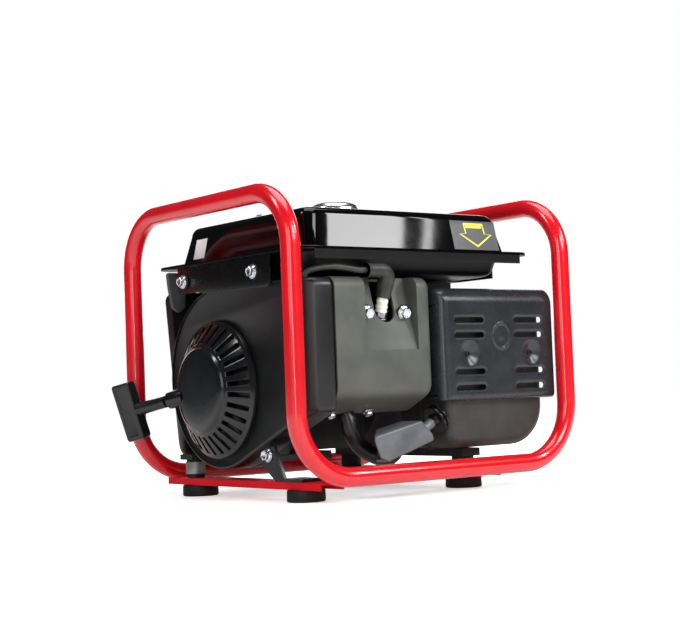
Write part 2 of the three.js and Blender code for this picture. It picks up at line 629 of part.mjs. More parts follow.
function addRecoil() {
  const front = VENT_FRONT;
  const rim = HOUSING_X[0] + 2.5;
  const wall = 2.4;
  // From the post's tip out over the dome and cone to the rim, then back along the outside.
  const profile = [
    [0, front + 10], [5.5, front + 10], [5.5, front + wall], [44.5, front + wall], [VENT_R - 5, -155],
    [VENT_R - 5, rim], [VENT_R, rim], [VENT_R, -157.5], [48, front + 2.5], [44.5, front], [0, front],
  ].map(([r, x]) => [r, x - front]);
  const shell = turned(profile, SLOT_COUNT, crankPoint(front), X_AXIS);
  const slots = [];
  for (let k = 0; k < SLOT_COUNT; k += 1) {
    const slot = block(front + 2, -154.5, -2.6, 2.6, 49, 68.5).applyMatrix4(
      new THREE.Matrix4().makeRotationX(((k + 0.5) * 2 * Math.PI) / SLOT_COUNT));
    slots.push(slot.translate(0, CRANK_Y, CRANK_Z));
  }
  const bossLength = 26;
  const bossFrom = ROPE_EXIT.clone().addScaledVector(PULL, -bossLength);
  const bossSolid = rod(8.5, bossLength, bossFrom, PULL, 16);
  const bossCore = rod(3.2, bossLength + 10, bossFrom.clone().addScaledVector(PULL, -5), PULL, 12);
  const insideRoom = turned([[0, 1.2], [42, 1.2], [64, 24], [64, 40], [0, 40]].map(([r, h]) => [r, h + 1.4]),
    30, crankPoint(front), X_AXIS);
  const boss = cut(bossSolid, insideRoom);
  place('recoil_cover', cut(join(cut(shell, ...slots), boss), bossCore), BLACK_PLASTIC);

  const pulley = [
    [6.2, 0], [39, 0], [39, 2], [35, 4.5], [39, 7], [39, 9], [12, 9], [12, 15], [6.2, 15], [6.2, 0],
  ];
  place('recoil_pulley', turned(pulley, 24, crankPoint(-170), X_AXIS), GREY_PLASTIC);

  const turns = 3;
  const [innerR, outerR] = [10, 34];
  const perTurn = 12;
  const stripHeight = 4;
  const strip = new THREE.Shape();
  const edge = (offset) => Array.from({ length: turns * perTurn + 1 }, (_, k) => {
    const angle = (k / perTurn) * 2 * Math.PI;
    const r = innerR + ((outerR - innerR) * k) / (turns * perTurn) + offset;
    return new THREE.Vector2(r * Math.cos(angle), r * Math.sin(angle));
  });
  strip.setFromPoints([...edge(0), ...edge(0.9).reverse()]);
  const spring = prism(strip, 'x', -174.9, -174.9 + stripHeight).translate(0, CRANK_Y, CRANK_Z);
  place('recoil_spring', spring, STEEL);

  const stemBack = 43;
  const along = BAR.clone().addScaledVector(PULL, -BAR.dot(PULL)).normalize();
  const across = along.clone().cross(PULL);
  const basis = new THREE.Matrix4().makeBasis(along, PULL, across);
  const grip = new THREE.Group();
  grip.applyMatrix4(basis.setPosition(HANDLE_AT));
  generator.add(grip);
  const bar = prism(roundedRect(-32.5, 32.5, -12, 12, 3.5), 'z', -7.5, 7.5, 1.5, 1, 2);
  const stem = turned([[0, 0], [4.9, 0], [5.4, stemBack - 16], [7, stemBack], [0, stemBack]], 14,
    new THREE.Vector3(0, -12 - stemBack + 4, 0), Y_AXIS);
  place('starter_handle', join(bar, stem), RUBBER, grip);

  const ropeStart = ROPE_EXIT.clone().addScaledVector(PULL, GAP);
  const stemTip = HANDLE_AT.clone().addScaledVector(PULL, -12 - stemBack + 4 - GAP);
  const run = stemTip.clone().sub(ropeStart);
  place('starter_rope', rod(1.9, run.length(), ropeStart, run.clone().normalize(), 8), ROPE);
}

// ---------------------------------------------------------------- cylinder shroud
function addShroud() {
  const { x, z, back, wall, belly } = SHROUD;
  const bevel = 6;
  const tray = common(
    prism(roundedRect(x[0] - 30, x[1], ...z, 12), 'y', SIDE_Y, back + 2 * bevel, bevel, 2, 3),
    block(x[0], x[1] + 1, SIDE_Y - 1, back, z[0] - 1, z[1] + 1));
  // Under the cylinder the floor slopes back and down.
  const chin = (by) => polygon([[SIDE_Y + 4 + by, z[0] + 4], [SIDE_Y + 39 + by / 2, belly + by],
    [back + by, belly + by], [back + by, z[0] + 4]]);
  const outer = join(tray, prism(chin(0), 'x', ...x));
  // The recess round the plug: its floor leans back with the bore.
  const recess = (by) => {
    const low = RECESS.floor - by;
    const high = z[1] + 20;
    const foot = SIDE_Y + RECESS.step + by;
    const side = [[SIDE_Y - 5, low], [foot, low], [foot + (high - low) * RECESS.slope, high],
      [SIDE_Y - 5, high]];
    return prism(polygon(side), 'x', RECESS.x[0] - by, RECESS.x[1] + by);
  };
  const room = block(x[0] - 5, x[1] - wall, SIDE_Y + wall, back + 5, z[0] + wall, z[1] - wall);
  const chinRoom = prism(chin(wall), 'x', x[0] - 5, x[1] - wall);
  const inside = cut(join(room, chinRoom), recess(wall));
  const notch = join(
    rod(13.5, 40, new THREE.Vector3(-45.5, SIDE_Y - 5, 192.5), Y_AXIS, 20),
    block(-59, -32, SIDE_Y - 5, SIDE_Y + 35, 192.5, z[1] + 10));
  const portAt = new THREE.Vector3(x[1] - 8, EXHAUST_PORT.y, EXHAUST_PORT.z);
  const portHole = rod(15.5, 20, portAt, X_AXIS, 16);
  const scroll = scrollRod(SCROLL.r + GAP, x[0] - 3, HOUSING_X[2] + GAP);
  place('cylinder_shroud', cut(outer, recess(0), inside, notch, portHole, scroll), SHROUD_PLASTIC);
}

// ---------------------------------------------------------------- intake side
function addIntake() {
  const [y0, y1] = CARB_Y;
  const bowl = rod(11.5, 28, new THREE.Vector3(BORE_X, (y0 + y1) / 2, 80), Z_AXIS, 20);
  const barrel = rod(13, y1 - y0, new THREE.Vector3(BORE_X, y0, CRANK_Z), Y_AXIS, 20);
  const tower = rod(8, 16, new THREE.Vector3(BORE_X, (y0 + y1) / 2, CRANK_Z + 8), Z_AXIS, 14);
  const inlet = rod(3, 14, new THREE.Vector3(BORE_X - 24, (y0 + y1) / 2, CRANK_Z + 2), X_AXIS, 10);
  const throat = rod(8.5, 40, new THREE.Vector3(BORE_X, y0 - 5, CRANK_Z), Y_AXIS, 16);
  place('carburettor', cut(join(bowl, barrel, tower, inlet), throat), CAST);

  const trayX = [-93.8, -20];
  const trayZ = [62, 168];
  const trayY = [y1 + GAP, COVER.y[0] - GAP];
  const tray = block(...trayX, ...trayY, ...trayZ);
  const hollow = block(...inset(trayX, SHEET), trayY[0] + SHEET, trayY[1] + 5, ...inset(trayZ, SHEET));
  const hole = rod(8.5, 30, new THREE.Vector3(BORE_X, trayY[0] - 5, CRANK_Z), Y_AXIS, 16);
  place('air_filter_housing', cut(tray, hollow, hole), BLACK_PLASTIC);
  const foam = block(...inset(trayX, SHEET + 1), trayY[0] + 8, trayY[1] - 1, ...inset(trayZ, SHEET + 1));
  place('air_filter_element', foam, FOAM);

  const outline = polygon([[COVER.x[0], COVER.z[1]], [COVER.x[0] + 13, 50], [COVER.x[0] + 24, COVER.z[0]],
    [COVER.x[1], COVER.z[0]], [COVER.x[1], COVER.z[1]]].reverse());
  const inside = polygon([[COVER.x[0] + 2.6, COVER.z[1] - 2.5], [COVER.x[0] + 15.6, 51],
    [COVER.x[0] + 25.4, COVER.z[0] + 2.5], [COVER.x[1] - 2.5, COVER.z[0] + 2.5],
    [COVER.x[1] - 2.5, COVER.z[1] - 2.5]].reverse());
  const shell = common(prism(outline, 'y', COVER.y[0] - 6, COVER.y[1], 3, 2),
    block(-200, 0, COVER.y[0], 200, 0, 300));
  place('air_filter_cover', cut(shell, prism(inside, 'y', COVER.y[0] - 5, COVER.y[1] - 2.5)), BLACK_PLASTIC);

  // The lever stands behind the cover's top corner and turns on a stub at its lower end.
  const lever = polygon([[-152, 210], [-144, 204], [-136, 210], [-134, 230], [-134, 249.5],
    [-158, 249.5], [-156, 230]]);
  place('choke_lever', prism(lever, 'y', 122, 126.5, 1, 1), GREY_PLASTIC);
}

// ---------------------------------------------------------------- alternator
const STATOR_X = [34, 92];

function addAlternator() {
  const [left, right] = ALTERNATOR.x;
  const { r, wall } = ALTERNATOR;
  const innerLeft = left + 6;
  const innerRight = right - 5;
  const shaftHole = 14;
  const profile = [
    [shaftHole, 0], [46, 0], [r, 12], [r, right - left - 6], [r - 6, right - left], [shaftHole, right - left],
    [shaftHole, innerRight - left], [r - wall, innerRight - left], [r - wall, 16], [44, innerLeft - left],
    [shaftHole, innerLeft - left], [shaftHole, 0],
  ];
  const shell = turned(profile, 32, crankPoint(left), X_AXIS);
  const beam = block(CHANNEL_X[1] - 13, CHANNEL_X[1] + 13, -114, 114, ...BEAM_Z);
  const pedestal = cut(block(CHANNEL_X[1] - 13, CHANNEL_X[1] + 13, 4, 58, BEAM_Z[1] - 1, 60),
    rod(r - 1, 60, crankPoint(CHANNEL_X[1] - 30), X_AXIS, 32));
  const vents = [];
  for (let k = 0; k < 10; k += 1) {
    const turn = new THREE.Matrix4().makeRotationX((k * 2 * Math.PI) / 10);
    vents.push(block(right - 8, right + 2, -7, 7, 26, 54).applyMatrix4(turn).translate(0, CRANK_Y, CRANK_Z));
  }
  place('alternator_housing', cut(join(shell, beam, pedestal), ...vents), CAST);

  const core = r - wall - GAP;
  const stator = [
    [47, 10], [50, 0], [60, 0], [61, 10], [core, 10], [core, 48], [61, 48], [60, 58], [50, 58], [47, 48],
    [47, 10],
  ];
  place('alternator_stator', turned(stator, 20, crankPoint(STATOR_X[0]), X_AXIS), COPPER);
  const rotor = [
    [SHAFT_R + GAP, 0], [20, 0], [20, 6], [46, 6], [46, 46], [20, 46], [20, 56], [44, 58], [44, 61],
    [SHAFT_R + GAP, 61], [SHAFT_R + GAP, 0],
  ];
  place('alternator_rotor', turned(rotor, 20, crankPoint(STATOR_X[0] + 4), X_AXIS), STEEL);
}

// ---------------------------------------------------------------- exhaust
function addExhaust() {
  const [x0, x1] = MUFFLER.x;
  const [z0, z1] = MUFFLER.z;
  const bodyShape = (by) => {
    const shape = new THREE.Shape();
    shape.moveTo(x0 + by + 12, z0 + by);
    shape.absarc(x1 - by - 44, z0 + by + 44, 44, -Math.PI / 2, 0, false);
    shape.absarc(x1 - by - 12, z1 - by - 12, 12, 0, Math.PI / 2, false);
    shape.absarc(x0 + by + 12, z1 - by - 12, 12, Math.PI / 2, Math.PI, false);
    shape.absarc(x0 + by + 12, z0 + by + 12, 12, Math.PI, 1.5 * Math.PI, false);
    return shape;
  };
  const outer = prism(bodyShape(0), 'y', ...MUFFLER.y, 9, 2, 3);
  const inner = prism(bodyShape(MUFFLER.wall), 'y', ...inset(MUFFLER.y, MUFFLER.wall), 7, 1, 2);
  const inletAt = new THREE.Vector3(x0 - 5, EXHAUST_PORT.y, EXHAUST_PORT.z);
  const drop = THREE.MathUtils.degToRad(OUTLET.drop);
  const flow = new THREE.Vector3(-Math.cos(drop), 0, -Math.sin(drop));
  const outletAt = new THREE.Vector3(OUTLET.x, OUTLET.y, OUTLET.z);
  const pipeR = 6;
  const outletBore = rod(pipeR + GAP, 44, outletAt.clone().addScaledVector(flow, -44), flow, 16);
  place('muffler', cut(outer, inner, rod(EXHAUST_PORT.r, 10, inletAt, X_AXIS, 16), outletBore), HEAT_BLACK);

  const pipe = [
    [4.5, -26], [pipeR, -26], [pipeR, -3], [15, -3], [15, -0.6], [12, -0.2], [12, 0.9], [15, 1.3], [15, 4],
    [pipeR, 4], [5.5, 8], [5.5, 33], [4, 33], [4, 8], [4.5, 4], [4.5, -26],
  ];
  place('tail_pipe', turned(pipe, 16, outletAt, flow), STEEL);

  const hood = polygon([[-84, 62], [-76, 40], [-66, 35.5], [-4, 55], [-6, 62], [-20, 76]]);
  const hoodRoom = polygon([[-90, 60], [-79, 39], [-66, 38.5], [-8, 57], [-9, 61], [-21, 72.5], [-81, 59.5]]);
  const skew = polygon([[-100, -150], [-86.6, -150], [-51.2, -110], [-100, -110]]);
  const deflector = cut(prism(hood, 'y', -147, -112, 3, 1), prism(hoodRoom, 'y', -145, -114),
    prism(skew, 'z', 20, 90), rod(6, 36, outletAt.clone().addScaledVector(flow, 6), flow, 12));
  place('exhaust_deflector', deflector, GREY_PLASTIC);

  const { x, y, z, wall } = GUARD;
  const side = (by, backTo) => {
    const shape = new THREE.Shape();
    const topR = 18 - by;
    const lowR = 6 - by;
    const front = y[0] + by;
    shape.moveTo(backTo, z[1] - by);
    shape.absarc(front + topR, z[1] - by - topR, topR, Math.PI / 2, Math.PI, false);
    shape.absarc(front + lowR, z[0] + by + lowR, lowR, Math.PI, 1.5 * Math.PI, false);
    shape.lineTo(backTo, z[0] + by);
    return shape;
  };
  const pan = prism(side(0, y[1]), 'x', ...x, 0, 1, 5);
  const panRoom = prism(side(wall, y[1] + 5), 'x', x[0] + wall, x[1] + 5, 0, 1, 5);
  const lipEnd = block(x[0] + wall, x[1] + 5, y[0] + 9, y[1] + 5, z[0] - 5, z[0] + 5);
  const slots = [];
  for (const centre of [52, 138.5]) {
    for (const level of [180, 164, 125, 108]) {
      const outline = roundedRect(centre - 21, centre + 21, level - 3, level + 3, 2.9);
      slots.push(prism(outline, 'y', y[0] - 3, y[0] + 5, 0, 1, 1));
    }
  }
  place('muffler_guard', cut(pan, panRoom, lipEnd, ...slots), BLACK_STEEL);
}

// ---------------------------------------------------------------- fuel system
function level(box, by, z, r) {
  return { x: inset(box.x, by), y: inset(box.y, by), z, r };
}

function addTank() {
  const [bottom, seam, top] = TANK.z;
  const { wall } = TANK;
  const plateTop = { x: FLANGE.x, y: FLANGE.y };
  const upperOuter = stack([
    level(TANK, 0, seam + 0.2, 16), level(TANK, 8.5, 289, 15), level(TANK, 12, 296, 13),
    level(TANK, 19, top, 11),
  ]);
  const upperInner = stack([
    level(TANK, wall, seam - 1, 15), level(TANK, 8.5 + wall, 288.4, 14), level(TANK, 21, top - wall, 10),
  ]);
  const upperFlange = stack([
    level(plateTop, 0, seam + 0.2, 18), level(plateTop, 0, seam + 0.2 + FLANGE.thick, 18),
  ]);
  const fillerAt = (z) => new THREE.Vector3(FILLER.x, FILLER.y, z);
  const neck = rod(FILLER.r + 1, 8, fillerAt(top - 1), Z_AXIS, 28);
  const fillerHole = rod(FILLER.r - 2, 30, fillerAt(top - 10), Z_AXIS, 28);
  place('tank_upper', cut(join(upperOuter, upperFlange, neck), upperInner, fillerHole), TANK_BLACK);

  const lowerBox = { x: [-136, 135], y: [-114, 121] };
  const lowerOuter = stack([
    level(lowerBox, 14, bottom, 12), level(lowerBox, 4, bottom + 6, 15), level(lowerBox, 0, seam - 0.1, 16),
  ]);
  const lowerInner = stack([
    level(lowerBox, 16, bottom + wall, 11), level(lowerBox, 4 + wall, bottom + 7, 14),
    level(lowerBox, wall, seam + 1, 15),
  ]);
  const lowerFlange = stack([
    level(plateTop, 0, seam - 0.1 - FLANGE.thick, 18), level(plateTop, 0, seam - 0.1, 18),
  ]);
  const lip = block(...inset(FLANGE.x, 19), FLANGE.y[0], FLANGE.y[0] + FLANGE.thick, seam - 11, seam - 1);
  const outlet = rod(5.2, 20, new THREE.Vector3(-95, 108, 242), Y_AXIS, 12);
  place('tank_lower', cut(join(lowerOuter, lowerFlange, lip), lowerInner, outlet), TANK_BLACK);

  const cap = [
    [0, 7.4], [FILLER.r + 1 + GAP, 7.4], [FILLER.r + 1 + GAP, 2], [27, 2], [28, 3.2], [28, 10], [26, 15],
    [22, 17.2], [12, 18.6], [0, 19],
  ];
  place('fuel_cap', turned(cap, 24, fillerAt(top), Z_AXIS), CHROME);

  const plateZ = [229.3, seam - FLANGE.thick - 0.1 - GAP];
  const leftPlate = prism(polygon([[-79, 219], [40, 220], [62, 223], [100, 223], [100, plateZ[1]],
    [-79, plateZ[1]]]), 'x', -158, -155.8);
  const ledge = block(-156.5, -136, -60, 40, plateZ[0], plateZ[0] + SHEET);
  place('tank_bracket_left', join(leftPlate, ledge), BLACK_STEEL);
  const rightPlate = block(149, 151.2, -79, 112, 231, plateZ[1]);
  const leg = block(149, 151.2, 8, 54, 184.4, 232);
  const shelf = block(96, 151.2, 8, 54, 184.4, 184.4 + 2.4);
  place('tank_bracket_right', join(rightPlate, leg, shelf), BLACK_STEEL);

  const tapAt = (y) => new THREE.Vector3(-95, y, 242);
  const tapBody = join(
    turned([[0, 0], [4.9, 0], [4.9, 6.6], [7, 6.6], [7, 35], [0, 35]], 16, tapAt(114.2), Y_AXIS),
    rod(2.6, 14, new THREE.Vector3(-95, 126, 226), Z_AXIS, 10));
  place('fuel_tap', tapBody, CAST);
  const arm = prism(roundedRect(-24, 6, -4, 4, 3), 'y', 0, 4, 0, 1, 2);
  const lever = join(rod(7, 5, new THREE.Vector3(), Y_AXIS, 16), arm);
  const leverMesh = place('fuel_tap_lever', lever, SWITCH_RED);
  leverMesh.position.set(-95, 149.2 + GAP, 242);
  const hoseRoute = [
    [-95, 126, 225.7], [-95, 125.5, 213], [-91, 117, 195], [-86, 103, 182], [-83, 96, 168], [-82, 94.5, 150],
    [-81, 92, 130], [-78, 89.7, 119], [BORE_X - 28, 89.5, CRANK_Z + 2], [BORE_X - 24.3, 89.5, CRANK_Z + 2],
  ];
  place('fuel_hose', smoothTube(hoseRoute, 3.2, 8, 16), RUBBER);
}

// ---------------------------------------------------------------- control panel
const SOCKET = { x: 100, z: 165, r: 22 };
const BREAKER = { x: 30, z: 190, r: 6 };
const SWITCH = { x: 30, z: 142, half: [9, 13] };

function addPanel() {
  const [y0, y1] = PANEL.y;
  const plate = common(prism(roundedRect(...PANEL.x, ...PANEL.z, 8), 'y', y0 - 6, y1, 2, 1),
    block(-100, 200, y0, 200, 0, 300));
  const back = prism(roundedRect(...inset(PANEL.x, 2), ...inset(PANEL.z, 2), 7), 'y', y0 - 5, y1 - 2.2);
  const socketHole = rod(SOCKET.r + GAP, 20, new THREE.Vector3(SOCKET.x, y1 - 10, SOCKET.z), Y_AXIS, 28);
  const breakerHole = rod(BREAKER.r + GAP, 20, new THREE.Vector3(BREAKER.x, y1 - 10, BREAKER.z), Y_AXIS, 20);
  const [w, h] = SWITCH.half;
  const switchHole = block(SWITCH.x - w, SWITCH.x + w, y1 - 10, y1 + 5, SWITCH.z - h, SWITCH.z + h);
  place('control_panel', cut(plate, back, socketHole, breakerHole, switchHole), BLACK_STEEL);

  const depth = 18;
  const socket = [
    [0, 0], [SOCKET.r, 0], [SOCKET.r, depth + 0.3], [26, depth + 0.3], [26, depth + 3], [19, depth + 3],
    [18, 4], [0, 4],
  ];
  const socketAt = new THREE.Vector3(SOCKET.x, y1 - depth, SOCKET.z);
  place('ac_socket', turned(socket, 28, socketAt, Y_AXIS), GREY_PLASTIC);
  const button = [[0, 0], [BREAKER.r, 0], [BREAKER.r, 15], [BREAKER.r - 1.5, 17], [0, 17]];
  const buttonAt = new THREE.Vector3(BREAKER.x, y1 - 11, BREAKER.z);
  place('breaker_button', turned(button, 18, buttonAt, Y_AXIS), SWITCH_RED);
  const rockerSide = polygon([[-11, -7], [11, -7], [11.5, 1.5], [0, 3.2], [-11.5, 5.5]]);
  const rocker = prism(rockerSide, 'x', -w + 1, w - 1);
  const rockerTurned = place('engine_switch', rocker.rotateX(Math.PI / 2).rotateZ(Math.PI), SWITCH_RED);
  rockerTurned.position.set(SWITCH.x, y1 - 1, SWITCH.z);
}

addFrame();
addChannel('left_channel', CHANNEL_X[0]);
addChannel('right_channel', CHANNEL_X[1]);
addFeet();
addMounts();
addCrankcase();
addCylinder();
addCrankshaft();
addPistonGroup();
addBlower();
addRecoil();
addShroud();
addIntake();
addAlternator();
addExhaust();
addTank();
addPanel();
generator.position.x = ORIGIN_SHIFT;

export default generator;
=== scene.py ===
"""Looks of the portable generator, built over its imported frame."""
import math
import bpy
import bmesh
from mathutils import Matrix, Quaternion, Vector


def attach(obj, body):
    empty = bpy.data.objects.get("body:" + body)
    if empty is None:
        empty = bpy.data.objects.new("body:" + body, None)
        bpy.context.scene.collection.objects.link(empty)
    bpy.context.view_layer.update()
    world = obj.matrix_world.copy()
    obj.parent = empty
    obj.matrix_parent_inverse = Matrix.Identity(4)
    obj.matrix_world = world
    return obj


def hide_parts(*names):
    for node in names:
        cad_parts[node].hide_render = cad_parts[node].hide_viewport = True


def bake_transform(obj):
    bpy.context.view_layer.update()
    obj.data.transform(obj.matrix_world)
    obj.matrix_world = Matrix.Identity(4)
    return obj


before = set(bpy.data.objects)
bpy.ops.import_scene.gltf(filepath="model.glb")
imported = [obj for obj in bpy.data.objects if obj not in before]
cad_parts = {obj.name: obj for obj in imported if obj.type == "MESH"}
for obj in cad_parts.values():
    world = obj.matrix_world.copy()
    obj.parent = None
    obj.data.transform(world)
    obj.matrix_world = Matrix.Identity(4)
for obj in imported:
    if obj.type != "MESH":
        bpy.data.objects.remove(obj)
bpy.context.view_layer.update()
SHIFT = 12.48           # mm along X from the middle of the frame to the record's origin

# ------------------------------------------------------------------ coordinates and shapes
# Shapes are laid out in millimetres about the middle of the tube frame, as in the CAD source.


def metres(p):
    return Vector(((p[0] + SHIFT) * 0.001, p[1] * 0.001, p[2] * 0.001))


def unit(v):
    return Vector(v).normalized()


X, Y, Z = Vector((1, 0, 0)), Vector((0, 1, 0)), Vector((0, 0, 1))
TO_3D = {
    "x": lambda u, v, d: (d, u, v),
    "y": lambda u, v, d: (u, d, v),
    "z": lambda u, v, d: (u, v, d),
}


def piece(name, verts, faces):
    mesh = bpy.data.meshes.new(name)
    mesh.from_pydata([metres(v) for v in verts], [], faces)
    tidy = bmesh.new()
    tidy.from_mesh(mesh)
    bmesh.ops.remove_doubles(tidy, verts=tidy.verts, dist=1e-6)
    bmesh.ops.recalc_face_normals(tidy, faces=tidy.faces)
    tidy.to_mesh(mesh)
    tidy.free()
    obj = bpy.data.objects.new(name, mesh)
    bpy.context.scene.collection.objects.link(obj)
    return obj


def modify(obj, kind, **values):
    modifier = obj.modifiers.new(kind.lower(), kind)
    for key, value in values.items():
        setattr(modifier, key, value)


def bake(obj):
    graph = bpy.context.evaluated_depsgraph_get()
    mesh = bpy.data.meshes.new_from_object(obj.evaluated_get(graph))
    old = obj.data
    obj.modifiers.clear()
    obj.data = mesh
    mesh.name = old.name + "_mesh"
    bpy.data.meshes.remove(old)


def bevel(obj, width, segments, angle=35):
    modify(obj, "BEVEL", width=width * 0.001, segments=segments, limit_method="ANGLE",
           angle_limit=math.radians(angle), use_clamp_overlap=True)
    bake(obj)


def boolean(obj, operation, *tools):
    for tool in tools:
        modify(obj, "BOOLEAN", operation=operation, object=tool, solver="EXACT")
        bake(obj)
        bpy.data.objects.remove(tool)


def cut(obj, *tools):
    boolean(obj, "DIFFERENCE", *tools)


def join(obj, *others):
    """Adds the others' meshes to obj, without a boolean."""
    merged = bmesh.new()
    for each in (obj, *others):
        merged.from_mesh(each.data)
    merged.to_mesh(obj.data)
    merged.free()
    for other in others:
        bpy.data.objects.remove(other)


def smooth(obj, angle):
    for polygon in obj.data.polygons:
        polygon.use_smooth = True
    obj.data.set_sharp_from_angle(angle=math.radians(angle))


def settle(obj, finish, body="root", stands_for=(), angle=32):
    if obj.modifiers:
        bake(obj)
    smooth(obj, angle)
    obj.data.materials.clear()
    obj.data.materials.append(finish)
    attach(obj, body)
    if stands_for:
        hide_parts(*stands_for)


def fillet(points, radii, steps):
    """A closed outline with each corner rounded to its radius."""
    out = []
    count = len(points)
    if not hasattr(radii, "__len__"):
        radii = [radii] * count
    for i, radius in enumerate(radii):
        before, corner, after = (Vector(points[(i + k) % count]) for k in (-1, 0, 1))
        into, leave = (before - corner).normalized(), (after - corner).normalized()
        angle = into.angle(leave)
        if radius <= 0 or angle > math.pi - 0.02:
            out.append(tuple(corner))
            continue
        reach = radius / math.tan(angle / 2)
        centre = corner + (into + leave).normalized() * (radius / math.sin(angle / 2))
        start, end = corner + into * reach - centre, corner + leave * reach - centre
        sweep = start.angle_signed(end)
        for k in range(steps + 1):
            turn = -sweep * k / steps
            c, s = math.cos(turn), math.sin(turn)
            out.append((centre.x + c * start.x - s * start.y, centre.y + s * start.x + c * start.y))
    return out


def rounded(u0, u1, v0, v1, radius, steps):
    return fillet([(u0, v0), (u1, v0), (u1, v1), (u0, v1)], radius, steps)


def circle(u, v, r, steps=32):
    return [(u + r * math.cos(2 * math.pi * k / steps), v + r * math.sin(2 * math.pi * k / steps))
            for k in range(steps)]


def arc(u, v, radius, start, sweep, steps):
    turns = (start + sweep * k / steps for k in range(steps + 1))
    return [(u + radius * math.cos(t), v + radius * math.sin(t)) for t in turns]


def quarter(steps):
    """(1 - sin, 1 - cos) at even steps from 0 to 90 degrees: how a rounded edge sets in."""
    turns = (k / steps * math.pi / 2 for k in range(steps + 1))
    return [(1 - math.sin(t), 1 - math.cos(t)) for t in turns]


def around(centre, side, up, radius, sides, start=0.0):
    """Points round a centre in space, in the plane of side and up."""
    turns = (start + 2 * math.pi * k / sides for k in range(sides))
    return [tuple(centre + (side * math.cos(t) + up * math.sin(t)) * radius) for t in turns]


def loft(name, rings, capped=True):
    """Quads between rings that have the same number of points."""
    count = len(rings[0])
    verts = [p for ring_ in rings for p in ring_]
    faces = []
    for level in range(len(rings) - 1):
        for k in range(count):
            a, b = level * count + k, level * count + (k + 1) % count
            faces.append((a, b, b + count, a + count))
    if capped:
        faces.append(tuple(range(count)))
        faces.append(tuple(range((len(rings) - 1) * count, len(rings) * count)))
    return piece(name, verts, faces)


def prism(name, outline, axis, start, end):
    place = TO_3D[axis]
    return loft(name, [[place(u, v, d) for u, v in outline] for d in (start, end)])


def basis_for(direction):
    along = unit(direction)
    side = along.cross(Z if abs(along.z) < 0.9 else X).normalized()
    return along, side, along.cross(side)


def turned(name, profile, at, direction, steps):
    """A turned piece. The profile is [(radius, distance along the axis)], closed where it meets the axis."""
    along, side, up = basis_for(direction)
    origin = Vector(at)
    rings = [around(origin + along * h, side, up, max(r, 1e-3), steps) for r, h in profile]
    closed = profile[0] == profile[-1]
    return loft(name, rings, capped=not closed)


def bent_route(corners, radii, steps):
    """Points along straight runs with round bends."""
    points = [Vector(corners[0])]
    for i in range(1, len(corners) - 1):
        before, corner, after = Vector(corners[i - 1]), Vector(corners[i]), Vector(corners[i + 1])
        into, leave = (corner - before).normalized(), (after - corner).normalized()
        angle = into.angle(leave)
        radius = radii[i - 1]
        start = corner - into * radius * math.tan(angle / 2)
        side = (leave - into * leave.dot(into)).normalized()
        centre = start + side * radius
        for k in range(steps + 1):
            turn = angle * k / steps
            points.append(centre - side * radius * math.cos(turn) + into * radius * math.sin(turn))
    points.append(Vector(corners[-1]))
    return points


def soft_route(points, steps):
    """Catmull-Rom points through the given ones."""
    p = [Vector(q) for q in points]
    p = [p[0] * 2 - p[1]] + p + [p[-1] * 2 - p[-2]]
    out = []
    for i in range(1, len(p) - 2):
        for k in range(steps):
            t = k / steps
            out.append(0.5 * ((2 * p[i]) + (p[i + 1] - p[i - 1]) * t
                              + (2 * p[i - 1] - 5 * p[i] + 4 * p[i + 1] - p[i + 2]) * t * t
                              + (3 * p[i] - p[i - 1] - 3 * p[i + 1] + p[i + 2]) * t ** 3))
    out.append(p[-2])
    return out


def tube(name, route, radius, sides):
    """A round tube along a route; radius is a number or one for each point."""
    radii = radius if hasattr(radius, "__len__") else [radius] * len(route)
    tangents = []
    for i in range(len(route)):
        a, b = route[max(i - 1, 0)], route[min(i + 1, len(route) - 1)]
        tangents.append((b - a).normalized())
    side = basis_for(tangents[0])[1]
    rings = []
    for point, tangent, r in zip(route, tangents, radii):
        side = (side - tangent * side.dot(tangent)).normalized()
        up = tangent.cross(side)
        rings.append(around(point, side, up, r, sides))
    return loft(name, rings)


# ------------------------------------------------------------------ materials
def srgb(colour):
    shares = (level / 255 for level in colour)
    return tuple((c / 12.92 if c <= 0.04045 else ((c + 0.055) / 1.055) ** 2.4) for c in shares) + (1,)


